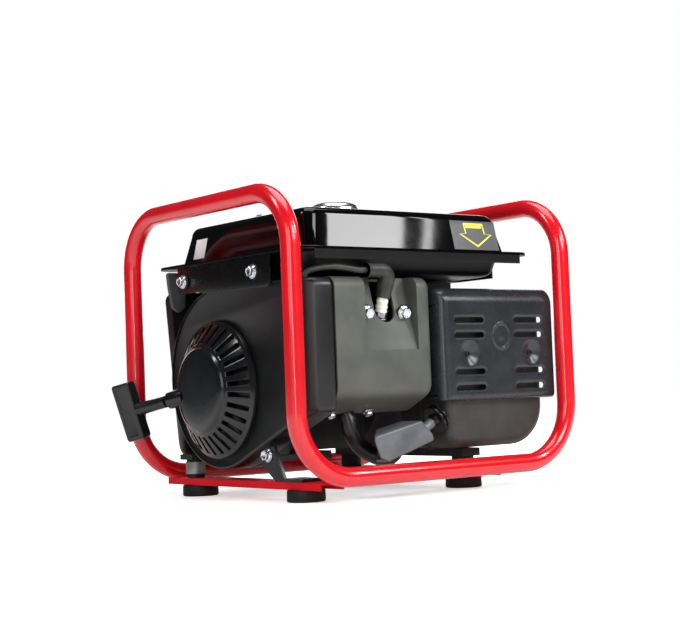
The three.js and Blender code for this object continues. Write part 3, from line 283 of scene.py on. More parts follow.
def material(name, low, high, rough, patch, bump, metal=0.0, coat=0.0, grain=1500, depth=0.0002, wave=None,
             specular=0.5, sheen=0.0):
    """Colour between low and high (sRGB) in soft patches, roughness over a range, fine grain as bump."""
    mat = bpy.data.materials.new(name)
    mat.use_nodes = True
    nodes, links = mat.node_tree.nodes, mat.node_tree.links
    shader = nodes["Principled BSDF"]
    shader.inputs["Metallic"].default_value = metal
    shader.inputs["Coat Weight"].default_value = coat
    shader.inputs["Coat Roughness"].default_value = 0.04
    shader.inputs["Specular IOR Level"].default_value = specular
    shader.inputs["Sheen Weight"].default_value = sheen
    place = nodes.new("ShaderNodeTexCoord")

    def noise(scale, detail):
        node = nodes.new("ShaderNodeTexNoise")
        node.inputs["Scale"].default_value = scale
        node.inputs["Detail"].default_value = detail
        links.new(place.outputs["Object"], node.inputs["Vector"])
        return node.outputs["Fac"]

    ramp = nodes.new("ShaderNodeValToRGB")
    dark, light = ramp.color_ramp.elements
    dark.position, dark.color = 0.35, srgb(low)
    light.position, light.color = 0.65, srgb(high)
    links.new(noise(patch, 4), ramp.inputs["Fac"])
    links.new(ramp.outputs["Color"], shader.inputs["Base Color"])
    spread = nodes.new("ShaderNodeMapRange")
    spread.inputs["To Min"].default_value, spread.inputs["To Max"].default_value = rough
    links.new(noise(patch * 3, 6), spread.inputs["Value"])
    links.new(spread.outputs["Result"], shader.inputs["Roughness"])
    relief = nodes.new("ShaderNodeBump")
    relief.inputs["Strength"].default_value = bump
    relief.inputs["Distance"].default_value = depth
    if wave:
        stripes = nodes.new("ShaderNodeTexWave")
        stripes.inputs["Scale"].default_value = wave
        stripes.inputs["Distortion"].default_value = 1.5
        links.new(place.outputs["Object"], stripes.inputs["Vector"])
        links.new(stripes.outputs["Fac"], relief.inputs["Height"])
    else:
        links.new(noise(grain, 3), relief.inputs["Height"])
    links.new(relief.outputs["Normal"], shader.inputs["Normal"])
    return mat


RED = material("red_powder_coat", (206, 8, 24), (218, 12, 30), (0.20, 0.27), coat=0.5, patch=30, grain=900,
               bump=0.03, depth=0.0001)
CHANNEL_RED = material("red_channel_coat", (206, 8, 24), (218, 12, 30), (0.42, 0.52), patch=30, grain=500,
                       bump=0.02, depth=0.0001, specular=0.12)
BLACK_GLOSS = material("black_enamel", (2, 2, 3), (5, 5, 6), (0.03, 0.07), patch=25, grain=160, bump=0.015,
                       depth=0.0002, specular=0.25)
UNDERSIDE = material("tank_underside_paint", (7, 7, 8), (12, 12, 13), (0.34, 0.48), patch=40, grain=900,
                     bump=0.10, specular=0.25)
BLACK_PAINT = material("black_paint", (6, 6, 7), (11, 11, 12), (0.22, 0.34), patch=60, grain=700, bump=0.04,
                       specular=0.35)
HOUSING = material("blower_plastic", (15, 16, 17), (22, 23, 24), (0.27, 0.38), patch=35, grain=2200,
                   bump=0.10, depth=0.0001)
COVER_BLACK = material("starter_cover_black", (20, 21, 23), (28, 29, 31), (0.16, 0.25), metal=0.35,
                       coat=0.3, patch=30, grain=1800, bump=0.04, depth=0.0001)
SHROUD = material("shroud_plastic", (70, 72, 67), (82, 84, 78), (0.42, 0.55), patch=35, grain=2600,
                  bump=0.22, depth=0.00012)
GUARD = material("guard_black_steel", (41, 43, 46), (50, 52, 55), (0.22, 0.31), metal=0.25, patch=45,
                 grain=900, bump=0.10)
MUFFLER = material("muffler_heat_paint", (42, 42, 40), (53, 52, 50), (0.42, 0.56), patch=55, grain=1300,
                   bump=0.25)
GREY_STEEL = material("deflector_steel", (92, 95, 99), (112, 115, 119), (0.34, 0.48), metal=0.35, patch=50,
                      grain=1100, bump=0.14)
ZINC = material("zinc_plate", (196, 202, 210), (226, 230, 236), (0.16, 0.30), metal=1.0, patch=220,
                grain=900, bump=0.08, depth=0.0001)
# Near black for the engine castings deep under the shroud and tank: painted shade for that dark space.
SHADED_CASTING = material("engine_casting_painted_shade", (20, 20, 20), (34, 34, 33), (0.45, 0.62), metal=0.2, patch=110,
                   grain=1300, bump=0.4)
CAST = material("cast_alloy", (120, 120, 118), (158, 158, 156), (0.38, 0.55), metal=0.9, patch=120,
                grain=1500, bump=0.45)
STEEL = material("machined_steel", (140, 143, 148), (172, 175, 180), (0.2, 0.32), metal=1.0, patch=90,
                 bump=0.12, wave=600, depth=0.00005)
CHROME = material("chrome_plate", (214, 216, 220), (232, 233, 236), (0.16, 0.26), metal=1.0, patch=60,
                  grain=120, bump=0.02)
RUBBER = material("black_rubber", (12, 12, 12), (21, 21, 20), (0.5, 0.68), patch=90, grain=2500, bump=0.25,
                  specular=0.35)
RUBBER_GLOSS = material("duct_rubber", (9, 9, 10), (15, 15, 16), (0.26, 0.36), patch=90, grain=1800,
                        bump=0.1)
BOOT = material("boot_rubber", (36, 38, 35), (52, 54, 50), (0.36, 0.5), patch=110, grain=2000, bump=0.2,
                specular=0.4)
CERAMIC = material("glazed_ceramic", (232, 228, 214), (246, 243, 234), (0.08, 0.18), coat=0.5, patch=120,
                   grain=600, bump=0.04)
COPPER = material("varnished_copper", (140, 70, 30), (184, 100, 50), (0.25, 0.4), metal=0.9, patch=200,
                  wave=900, bump=0.5, depth=0.0003)
CORD = material("braided_cord", (20, 20, 21), (46, 46, 48), (0.6, 0.8), patch=500, wave=1400, bump=0.6,
                depth=0.0004, sheen=0.3)
FOAM = material("filter_foam", (38, 38, 42), (60, 60, 64), (0.8, 0.95), patch=900, grain=1400, bump=0.9,
                depth=0.0006)
SWITCH_RED = material("switch_red", (168, 12, 16), (188, 18, 22), (0.2, 0.32), patch=60, grain=1200,
                      bump=0.05)
GREY_PLASTIC = material("grey_plastic", (66, 68, 70), (80, 82, 84), (0.4, 0.52), patch=50, grain=2000,
                        bump=0.15)
LABEL_WHITE = material("label_white", (240, 240, 242), (250, 250, 251), (0.3, 0.42), patch=60, grain=700,
                       bump=0.05)
LABEL_GREY = material("label_grey", (58, 58, 62), (68, 68, 72), (0.28, 0.36), patch=60, grain=900,
                      bump=0.06)
LABEL_YELLOW = material("label_yellow", (228, 224, 40), (240, 236, 60), (0.3, 0.4), patch=60, grain=700,
                        bump=0.05)
FLOOR = material("studio_floor", (240, 240, 240), (244, 244, 244), (0.55, 0.65), patch=2, grain=20,
                 bump=0.0)

# ------------------------------------------------------------------ CAD nodes that stay
KEEP = {
    CHANNEL_RED: ["left_channel", "right_channel"],
    RUBBER: ["engine_mount", "alternator_mount_near", "alternator_mount_far"],
    BLACK_PAINT: ["engine_foot", "tank_bracket_right", "ignition_coil"],
    # near-black castings: painted shade under the shroud and tank
    SHADED_CASTING: ["crankcase", "cylinder_barrel", "cylinder_head", "alternator_housing"],
    CAST: ["flywheel", "carburettor", "fuel_tap", "piston"],
    STEEL: ["crankshaft_left", "crankshaft_right", "left_bearing", "right_bearing", "starter_cup",
            "alternator_rotor", "wrist_pin", "connecting_rod", "crank_pin", "recoil_spring"],
    COPPER: ["alternator_stator"],
    HOUSING: ["air_filter_housing"],
    GREY_PLASTIC: ["recoil_pulley"],
    FOAM: ["air_filter_element"],
}
for finish, names in KEEP.items():
    for node_name in names:
        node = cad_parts[node_name]
        node.data.materials.clear()
        node.data.materials.append(finish)
        smooth(node, 28)
        if node_name not in ("recoil_spring", "alternator_stator"):
            modify(node, "BEVEL", width=0.0006, segments=2, limit_method="ANGLE",
                   angle_limit=math.radians(40))

# ------------------------------------------------------------------ fasteners
def hex_bolt(name, at, direction, across, head, flange, washer=None, grommet=None):
    """A flange bolt whose underside sits at the given point, with an optional washer and rubber grommet."""
    along, side, up = basis_for(direction)
    base = Vector(at)
    parts = []
    height = 0.0
    if grommet:
        radius, thick = grommet
        ring_ = turned(name + "_grommet", [(3, 0), (radius - 1, 0), (radius, 1), (radius, thick - 1),
                                           (radius - 1.2, thick), (3, thick), (3, 0)], base, along, 36)
        settle(ring_, RUBBER)
        height = thick
    if washer:
        parts.append(turned(name + "_w", [(3, height), (washer, height), (washer, height + 1.1),
                                          (washer - 0.3, height + 1.4), (3, height + 1.4), (3, height)],
                            base, along, 36))
        height += 1.4
    parts.append(turned(name, [(0, height), (flange, height), (flange, height + 0.9),
                               (flange - 1.6, height + 1.9), (0, height + 2.1)], base, along, 36))
    corner = across / 2 / math.cos(math.pi / 6)
    levels = ((corner, height + 1.2), (corner, height + head - 1.0), (corner * 0.93, height + head),
              (corner * 0.72, height + head), (corner * 0.66, height + head - 0.6))
    twist = math.radians(12)
    parts.append(loft(name + "_h", [around(base + along * h, side, up, r, 6, twist) for r, h in levels]))
    bolt = parts[0]
    join(bolt, *parts[1:])
    modify(bolt, "BEVEL", width=0.0003, segments=2, limit_method="ANGLE", angle_limit=math.radians(35))
    settle(bolt, ZINC)


# ------------------------------------------------------------------ tube frame
def build_frame():
    post_x, post_y, low, high = 184, 154, 24.5, 310
    bends = [65, 57, 57, 65]
    for side_name, x in (("left", -post_x), ("right", post_x)):
        corners = [(60, -post_y, low), (x, -post_y, low), (x, -post_y, high), (x, post_y, high),
                   (x, post_y, low), (60, post_y, low)]
        node_name = side_name + "_frame_tube"
        skin = tube("skin_" + node_name, bent_route(corners, bends, 24), 10, 48)
        settle(skin, RED, stands_for=[node_name])


def build_feet():
    for node_name, x, y in (("foot_left_near", -137, -100), ("foot_left_far", -137, 100),
                            ("foot_right_near", 75, -100), ("foot_right_far", 75, 100)):
        profile = [(0, 0), (18.4, 0), (19.3, 0.5), (19.8, 1.6), (19.6, 11), (19.2, 12.0), (18.4, 12.2),
                   (11, 12.2), (11, 17.7), (0, 17.7)]
        foot = turned("rubber_" + node_name, profile, (x, y, 0), Z, 56)
        settle(foot, RUBBER, stands_for=[node_name])


# ------------------------------------------------------------------ blower housing and recoil starter
CRANK = (31, 116)       # y and z of the crankshaft
SCROLL = (29, 128, 97)  # y and z of the scroll's middle, and its radius
SIDE_Y = -137           # the near side of the blower housing and the shroud
SLOT_COUNT = 30
HANDLE_AT = Vector((-201, 137, 96))
ROPE_EXIT = Vector((-181.5, 87, 106.3))
PULL = unit(HANDLE_AT - ROPE_EXIT)


def blower_outline(by):
    cy, cz, radius = SCROLL
    r = radius - by
    near, top, low = SIDE_Y + by, cz + r, 91 + by
    start = math.radians(-112.2)
    corner = max(10 - by, 2)
    scroll = arc(cy, cz, r, start, math.pi / 2 - start, 72)
    upper = arc(near + corner, top - corner, corner, math.pi / 2, math.pi / 2, 8)
    return scroll + upper + arc(near + 7, low + 4, 7, math.pi, math.radians(66), 6)


def build_blower():
    front, band, back = -155, -119.8, -100
    radius, band_radius = 2.6, 5
    mouth_r, wall = 70.6, 3.0
    chamfer_x, chamfer_slope = -144.4, 1.1      # the near front edge is a broad flat chamfer

    def ring(x, by):
        nearest = SIDE_Y + 0.1 + max(0, chamfer_x - x) * chamfer_slope if x < chamfer_x else SIDE_Y
        return [(x, max(y, nearest), z) for y, z in blower_outline(by)]

    rings = [ring(front + radius * ahead, radius * by) for ahead, by in quarter(6)]
    rings.append(ring(chamfer_x, 0))
    rings += [ring(band - band_radius * ahead, band_radius * by) for ahead, by in quarter(6)]
    body = loft("blower_shell", rings)
    cut(body, prism("mouth", circle(*CRANK, mouth_r, 96), "x", front - 2, band - 6))
    cut(body, prism("room", blower_outline(wall), "x", band - 18, band + 2))
    bevel(body, 0.8, 2, 40)
    cy, cz, outer = SCROLL
    inner, depth = outer - wall, back - band
    wall_side = [(inner, 0), (outer, 0), (outer, depth - 1), (outer - 0.8, depth), (inner, depth), (inner, 0)]
    join(body, turned("scroll", wall_side, (band, cy, cz), X, 120))
    settle(body, HOUSING, stands_for=["blower_housing"], angle=38)


def build_recoil():
    front, rim = -180.5, -155
    at = (front, *CRANK)
    depth = rim - front + 2
    # The outside goes over the flat dome and down the cone to the rim, and the inside comes back.
    out = [(0, 0.0), (22, 0.0), (35, 0.25), (40, 0.7), (42.8, 1.4), (44.6, 2.5), (45.6, 3.9), (46.6, 4.5),
           (47.8, 4.7), (69.2, 21.0), (70.6, 22.0), (72.2, 22.6), (73.5, 23.3), (74, 24.6), (74, depth)]
    back = [(71, depth), (71, 24.8), (68.8, 23.6), (47.6, 7.4), (43.6, 6.6), (42.4, 4), (38, 2.8), (0, 2.6)]
    shell = turned("starter_cover", out + back, at, X, 180)
    tools = []
    for k in range(SLOT_COUNT):
        angle = (k + 0.5) * 2 * math.pi / SLOT_COUNT
        radial = Vector((0, math.cos(angle), math.sin(angle)))
        across = Vector((0, -math.sin(angle), math.cos(angle)))
        outline = rounded(49.6, 69.4, -2.7, 2.7, 0.9, 3)
        rings = [[tuple(Vector((x, *CRANK)) + radial * u + across * v) for u, v in outline]
                 for x in (front + 3, front + 30)]
        tools.append(loft("slot_%02d" % k, rings))
    slot_tool = tools[0]
    join(slot_tool, *tools[1:])
    cut(shell, slot_tool)
    boss = turned("boss", [(3.2, -22), (9.4, -22), (9.4, -1.4), (8.5, -0.3), (5.2, 0), (3.2, -1.5),
                           (3.2, -22)], ROPE_EXIT, PULL, 40)
    trim = turned("trim", [(0, 3), (36, 3), (41.5, 5.4), (66, 25), (66, 60), (0, 60)], at, X, 60)
    cut(boss, trim)
    join(shell, boss)
    bevel(shell, 0.35, 2, 40)
    settle(shell, COVER_BLACK, stands_for=["recoil_cover"], angle=36)
    # A black sheet behind the slots, painted shade: it shows as darkness between the slots.
    shade_sheet = turned("starter_shade_sheet", [(12, 12), (39, 12), (66, 27.0), (66, 28.0), (38, 13.5), (12, 13.5),
                                       (12, 12)], at, X, 60)
    settle(shade_sheet, BLACK_PAINT)


def build_handle():
    pull, at = PULL, HANDLE_AT
    bar_dir = unit((-0.251, 0.101, 0.95))
    along = (bar_dir - pull * bar_dir.dot(pull)).normalized()
    across = along.cross(pull)

    def put(u, v, w):
        return tuple(at + along * u + pull * v + across * w)

    def bar_outline(by):
        return rounded(-32.4 + by, 32.4 - by, -12 + by, 12 - by, 3.6 - by, 5)

    soft_edge = [(5.2, 0), (6.2, 0.1), (7.1, 0.8), (7.4, 1.8)]
    levels = [(-w, by) for w, by in reversed(soft_edge)] + soft_edge
    bar = loft("grip_bar", [[put(u, v, w) for u, v in bar_outline(by)] for w, by in levels])
    stem = turned("grip_stem", [(2.4, -50.5), (6.0, -50.5), (6.5, -49.9), (6.5, -36), (6.9, -24), (7.2, -14),
                                (8.0, -11), (2.4, -9)], at, pull, 36)
    groove = []
    for side_ in (-1, 1):
        groove.append(loft("inset", [[put(u, v, side_ * w) for u, v in rounded(-27, 27, -7, 7, 1.6, 4)]
                                     for w in (6.8, 8.5)]))
    cut(bar, *groove)
    join(bar, stem)
    bevel(bar, 0.5, 2, 40)
    settle(bar, HOUSING, body="handle", stands_for=["starter_handle"])

    tip = at - pull * 49.5
    start = ROPE_EXIT - pull * 12
    steps = 60
    rope = tube("pull_rope", [start.lerp(tip, k / steps) for k in range(steps + 1)], 1.9, 20)
    smooth(rope, 60)
    rope.data.materials.append(CORD)
    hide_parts("starter_rope")
    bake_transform(rope)


# ------------------------------------------------------------------ cylinder shroud, plug and lead
def build_shroud():
    x0, x1, back = -119.5, 8, -45
    z0, z1 = 104, 226
    belly = 86

    def inset_side(by):
        return fillet([(SIDE_Y + by, z0 + by), (SIDE_Y + 39, belly + by), (back, belly + by), (back, z1 - by),
                       (SIDE_Y + by, z1 - by)], [16 - by, 12, 0, 0, 12 - by], 8)

    radius = 9
    rings = [[(x0, u, v) for u, v in inset_side(0)]]
    rings += [[(x1 - radius * ahead, u, v) for u, v in inset_side(radius * by)] for ahead, by in quarter(7)]
    body = loft("shroud_shell", rings)
    low, high, step, slope = 150, z1 + 20, 1.8, 0.279       # the recess round the plug leans back

    def wedge(name, by, left, right):
        foot = SIDE_Y + step + by
        outline = [(SIDE_Y - 8, low - by), (foot, low - by), (foot + (high - low + by) * slope, high),
                   (SIDE_Y - 8, high)]
        return prism(name, outline, "x", left, right)

    inner_side = fillet([(SIDE_Y + 2.5, z0 + 2.5), (SIDE_Y + 40, belly + 2.5), (back + 9, belly + 2.5),
                         (back + 9, z1 - 2.5), (SIDE_Y + 2.5, z1 - 2.5)], [13, 9, 0, 0, 8], 4)
    room = prism("room", inner_side, "x", x0 - 4, x1 - 2.5)
    cut(room, wedge("room_wedge", 2.5, -83.5, -9.5))
    cut(body, room)
    cut(body, wedge("recess", 0, -81, -12))
    notch = fillet([(-59, 179), (-32, 179), (-32, z1 + 12), (-59, z1 + 12)], [13.3, 13.3, 0, 0], 12)
    cut(body, prism("notch", notch, "y", SIDE_Y - 6, SIDE_Y + 40))
    cut(body, prism("scroll_cut", circle(SCROLL[0], SCROLL[1], SCROLL[2] + 0.4, 96), "x", x0 - 3, -99.7))
    cut(body, prism("port_cut", circle(-60.6, 144.9, 15.5, 40), "x", x1 - 8, x1 + 4))
    bevel(body, 1.1, 3, 40)
    settle(body, SHROUD, stands_for=["cylinder_shroud"], angle=40)
    lean = unit((0, -1, -slope))
    bolt_z = 190
    for tag, x in (("left", -71.5), ("right", -22.5)):
        foot = Vector((x, SIDE_Y + step + (bolt_z - low) * slope, bolt_z))
        hex_bolt("shroud_bolt_" + tag, foot, lean, 10, 5.4, 6.6, washer=7.4, grommet=(8.2, 2.6))


def build_plug():
    lean = math.radians(16)
    axis = Vector((0, -math.sin(lean), math.cos(lean)))
    at = Vector((-46, -115.8, 182.5))
    seat = turned("plug_seat", [(0, -14), (5, -14), (5, 0.4), (7.4, 0.4), (7.8, 1.0), (7.8, 1.8), (7.2, 2.2),
                                (0, 2.2)], at, axis, 40)
    corner = 6.6 / math.cos(math.pi / 6)
    side, up = basis_for(axis)[1:]
    levels = ((corner * 0.93, 2.0), (corner, 2.6), (corner, 7.6), (corner * 0.93, 8.2))
    join(seat, loft("plug_nut", [around(at + axis * h, side, up, r, 6) for r, h in levels]))
    bevel(seat, 0.3, 2, 35)
    settle(seat, STEEL)
    ribs = [(0, 8.0), (6.2, 8.0), (6.5, 8.6), (6.5, 10.4), (5.9, 11.0), (5.9, 12.0), (6.5, 12.6), (6.5, 15.0),
            (5.8, 15.6), (5.8, 17), (6.2, 17.6), (6.2, 21), (5.6, 22), (5.4, 25), (5.0, 30), (3.2, 34),
            (3.2, 38), (0, 38)]
    body = turned("plug_insulator", ribs, at, axis, 40)
    settle(body, CERAMIC, stands_for=["spark_plug"], angle=50)

    foot = at + axis * 24
    elbow = at + axis * 52 + X * 2
    end = elbow + Vector((-29, 0, 0))
    route = bent_route([foot, elbow, end], [9.5], 14)
    dense = [route[0].lerp(route[1], k / 8) for k in range(8)] + route[1:-1]
    dense += [route[-2].lerp(route[-1], k / 8) for k in range(9)]
    count = len(dense)
    radii = []
    for k in range(count):
        if k < 8:
            radii.append(7.6 + 1.4 * k / 8)
        elif k > count - 9:
            radii.append(7.9 - 0.6 * (k - (count - 9)) / 8)
        else:
            radii.append(9.0 - 1.1 * (k - 8) / (count - 17))
    sleeve = tube("plug_boot", dense, radii, 40)
    rims = [turned("rim_a", [(4, -0.4), (7.5, -0.4), (7.9, 0.2), (7.9, 1.8), (7.6, 2.4), (4, 2.4)], foot,
                   elbow - foot, 40),
            turned("rim_b", [(4, 0), (7.7, 0), (8.0, 0.5), (8.0, 2.0), (7.5, 2.6), (4, 2.6)], end, X, 40)]
    join(sleeve, *rims)
    settle(sleeve, BOOT, stands_for=["plug_cap"], angle=40)

    lead = [(end.x + 2, end.y, end.z), (end.x - 4, end.y, end.z), (-86, -130, 232.8), (-110, -128, 235.5),
            (-130, -123, 234), (-142, -119, 229), (-144, -117, 216), (-142, -106, 200), (-136, -86, 184),
            (-130, -66, 172), (-122, -54, 165), (-114, -46, 162.5), (-110.5, -40.8, 164.6),
            (-110, -34.4, 169.4)]
    cable = tube("spark_lead", soft_route(lead, 8), 3.3, 24)
    settle(cable, BOOT, stands_for=["ignition_lead"], angle=60)


# ------------------------------------------------------------------ exhaust
def ease(t):
    t = min(max(t, 0.0), 1.0)
    return t * t * (3 - 2 * t)


def slot_distance(x, z, centre, level):
    """Distance from a point to the outline of a 42 x 6 slot."""
    run = max(abs(x - centre) - 18, 0)
    return math.hypot(run, z - level) - 3


GUARD_SLOTS = [(c, level) for c in (52, 138.5) for level in (180, 164, 125, 108)]
GUARD_DIMPLES = {"left": (51, 144), "right": (142, 144)}
GUARD_RING = (98, 163)  # a plain raised ring with a low boss in its middle


def guard_depth(x, z):
    """How far the guard's flat face is pressed in (positive) or out at a point."""
    depth, lip = 0.0, 2.2
    for cx, cz in GUARD_DIMPLES.values():
        r = math.hypot(x - cx, (z - cz) * 0.92)
        depth += 4.5 * (1 - ease((r - 1.0) / 14.0))
    r = math.hypot((x - GUARD_RING[0]) / 0.9, z - GUARD_RING[1])
    depth -= 1.0 * max(0.0, 1 - ((r - 13.5) / 1.5) ** 2)
    depth -= 0.5 * max(0.0, 1 - (r / 6.0) ** 2)
    for centre, level in GUARD_SLOTS:
        gap = slot_distance(x, z, centre, level)
        if gap < lip:
            depth += 0.7 * (1 - ease(gap / lip))
    return depth


def build_guard():
    x0, x1 = 13, 174.5
    y0, y1 = -146, -85
    z0, z1 = 94, 215
    top_r, low_r, side_r = 18, 6, 11
    # The section from the top's back edge round to the bottom's, as (y, z, on the flat face).
    section = [(y1 + (y0 + top_r - y1) * k / 10, z1, False) for k in range(10)]
    section += [(*p, False) for p in arc(y0 + top_r, z1 - top_r, top_r, math.pi / 2, math.pi / 2, 14)]
    span = (z1 - top_r) - (z0 + low_r)
    section += [(y0, z1 - top_r - span * k / 72, True) for k in range(1, 72)]
    section += [(*p, False) for p in arc(y0 + low_r, z0 + low_r, low_r, math.pi, math.pi / 2, 8)]
    section += [(y0 + low_r + 2 * k, z0, False) for k in (1, 2, 3)]
    # Its places along X, each with how far the face has turned back towards +Y at the left end.
    columns = 118
    xs = [(x0, side_r + (y1 - y0 - side_r) * (1 - k / 8)) for k in range(8)]
    xs += [(x0 + side_r * by, side_r * ahead) for ahead, by in quarter(8)]
    xs += [(x0 + side_r + (x1 - x0 - side_r) * k / columns, 0) for k in range(1, columns + 1)]
    verts, faces = [], []
    for x, inward in xs:
        draw = min(inward, side_r)      # the outline draws in a little as it turns
        for y, z, flat in section:
            if inward:
                y = max(y, y0 + inward)
            elif flat:
                y += guard_depth(x, z)
            if z > z1 - top_r:
                z -= draw * 0.45
            elif z < z0 + low_r:
                z += draw * 0.25
            verts.append((x, min(y, y1), z))
    rows = len(section)
    for i in range(len(xs) - 1):
        for j in range(rows - 1):
            a = i * rows + j
            faces.append((a, a + 1, a + rows + 1, a + rows))
    pan = piece("guard_pan", verts, faces)
    modify(pan, "SOLIDIFY", thickness=0.0015, offset=-1)
    bake(pan)
    tools = []
    for k, (centre, level) in enumerate(GUARD_SLOTS):
        outline = rounded(centre - 21, centre + 21, level - 3, level + 3, 2.95, 6)
        tools.append(prism("guard_slot_%d" % k, outline, "y", y0 - 4, y0 + 9))
    for tag, (cx, cz) in GUARD_DIMPLES.items():
        tools.append(prism("guard_hole_" + tag, circle(cx, cz, 2.6, 20), "y", y0 - 4, y0 + 12))
    cut(pan, *tools)
    settle(pan, GUARD, stands_for=["muffler_guard"], angle=48)
    screw_head = [(0, 3.4), (3.4, 3.4), (3.5, 2.6), (2.8, 0.9), (1.2, 0.5), (1.0, 1.4), (0, 1.4)]
    for tag, (cx, cz) in GUARD_DIMPLES.items():
        screw = turned("guard_screw_" + tag, screw_head, (cx, y0 + 2.2, cz), Y, 28)
        settle(screw, BLACK_PAINT)


def build_muffler():
    x0, x1 = 28, 170.5
    y0, y1 = -134, -48
    z0, z1 = 44, 200

    def outline(by):
        return fillet([(x0 + by, z0 + by), (x1 - by, z0 + by), (x1 - by, z1 - by), (x0 + by, z1 - by)],
                      [max(16 - by, 2), max(44 - by, 2), max(14 - by, 2), max(14 - by, 2)], 12)

    radius = 12
    front = [[(u, y0 + radius * ahead, v) for u, v in outline(radius * by)] for ahead, by in quarter(7)]
    rear = [[(u, y1 - radius * ahead, v) for u, v in outline(radius * by)] for ahead, by in quarter(7)]
    body = loft("muffler_can", front[::-1] + rear)
    seam = loft("muffler_seam", [[(u, y, v) for u, v in outline(-1.8 + edge)]
                                 for y, edge in ((-90.5, 0.4), (-90.2, 0.0), (-88.2, 0.0), (-87.9, 0.4))])
    join(body, seam)
    settle(body, MUFFLER, stands_for=["muffler"], angle=40)


def build_tail():
    drop = math.radians(29.4)
    flow = Vector((-math.cos(drop), 0, -math.sin(drop)))
    at = Vector((17.7, -126, 77))
    pair = [(4.5, -8), (6, -8), (6, -3), (14.6, -3), (15, -2.6), (15, -1.0), (14.6, -0.6), (12, -0.2),
            (12, 0.9), (14.6, 1.3), (15, 1.7), (15, 3.6), (14.6, 4), (7.4, 4), (6.4, 6), (5.5, 9), (4.5, 9),
            (4.5, -8)]
    flange = turned("tail_flange", pair, at, flow, 64)
    settle(flange, BLACK_PAINT, angle=40)
    stub = turned("tail_stub", [(4.2, 8), (5.5, 8), (5.5, 33), (4.2, 33), (4.2, 8)], at, flow, 48)
    settle(stub, GREY_STEEL, stands_for=["tail_pipe"], angle=40)

    hood = fillet([(-84, 62), (-76, 40), (-66, 35.5), (-4, 55), (-6, 62), (-20, 76)], [4.5, 4, 3, 3, 2, 3], 6)
    body = prism("hood_shell", hood, "y", -147, -112)
    bevel(body, 2.2, 4, 60)
    room = [(-90, 60.5), (-79, 39), (-66, 38.3), (-8, 57), (-9, 61), (-21, 73), (-81, 60.5)]
    cut(body, prism("hood_room", room, "y", -145.4, -113.6))
    cut(body, prism("hood_skew", [(-100, -152), (-88.4, -152), (-49.4, -108), (-100, -108)], "z", 20, 90))
    bore = turned("hood_bore", [(0, 20), (5.8, 20), (5.8, 44), (0, 44)], at, flow, 32)
    cut(body, bore)
    settle(body, GREY_STEEL, stands_for=["exhaust_deflector"], angle=36)


# ------------------------------------------------------------------ tank
def dense_ring(x, y, z, radius, crown):
    """A rounded rectangle with points along its straight sides too, so that they can bow."""
    base = rounded(x[0], x[1], y[0], y[1], radius, 10)
    out = []
    count = len(base)
    middle, half = (x[0] + x[1]) / 2, (x[1] - x[0]) / 2
    for i in range(count):
        a, b = Vector(base[i]), Vector(base[(i + 1) % count])
        pieces = 14 if (b - a).length > 40 else 1
        for k in range(pieces):
            p = a.lerp(b, k / pieces)
            bow = crown * (1 - min(1, abs(p.x - middle) / half) ** 2)
            out.append((p.x, p.y - bow if p.y < 0 else p.y + bow, z))
    return out


CROWN = 0.8             # how far the tank's long sides bow out
HEEL = 257              # where the tank's flat sides begin, and how far in they are there
HEEL_IN = 0.8
SHOULDER = 289          # where the flat sides end and the rounded edge begins, and how far in
SHOULDER_IN = 8.5
SHOULDER_RISE = 10.2
TANK_TOP = 300
TANK_X = (-142, 141)
TANK_Y = (-119.2, 126.2)
FILLER = (-20, -10, TANK_TOP)


def side_inset(z):
    """How far in the tank's flat side is at a height."""
    return HEEL_IN + (z - HEEL) / (SHOULDER - HEEL) * (SHOULDER_IN - HEEL_IN)


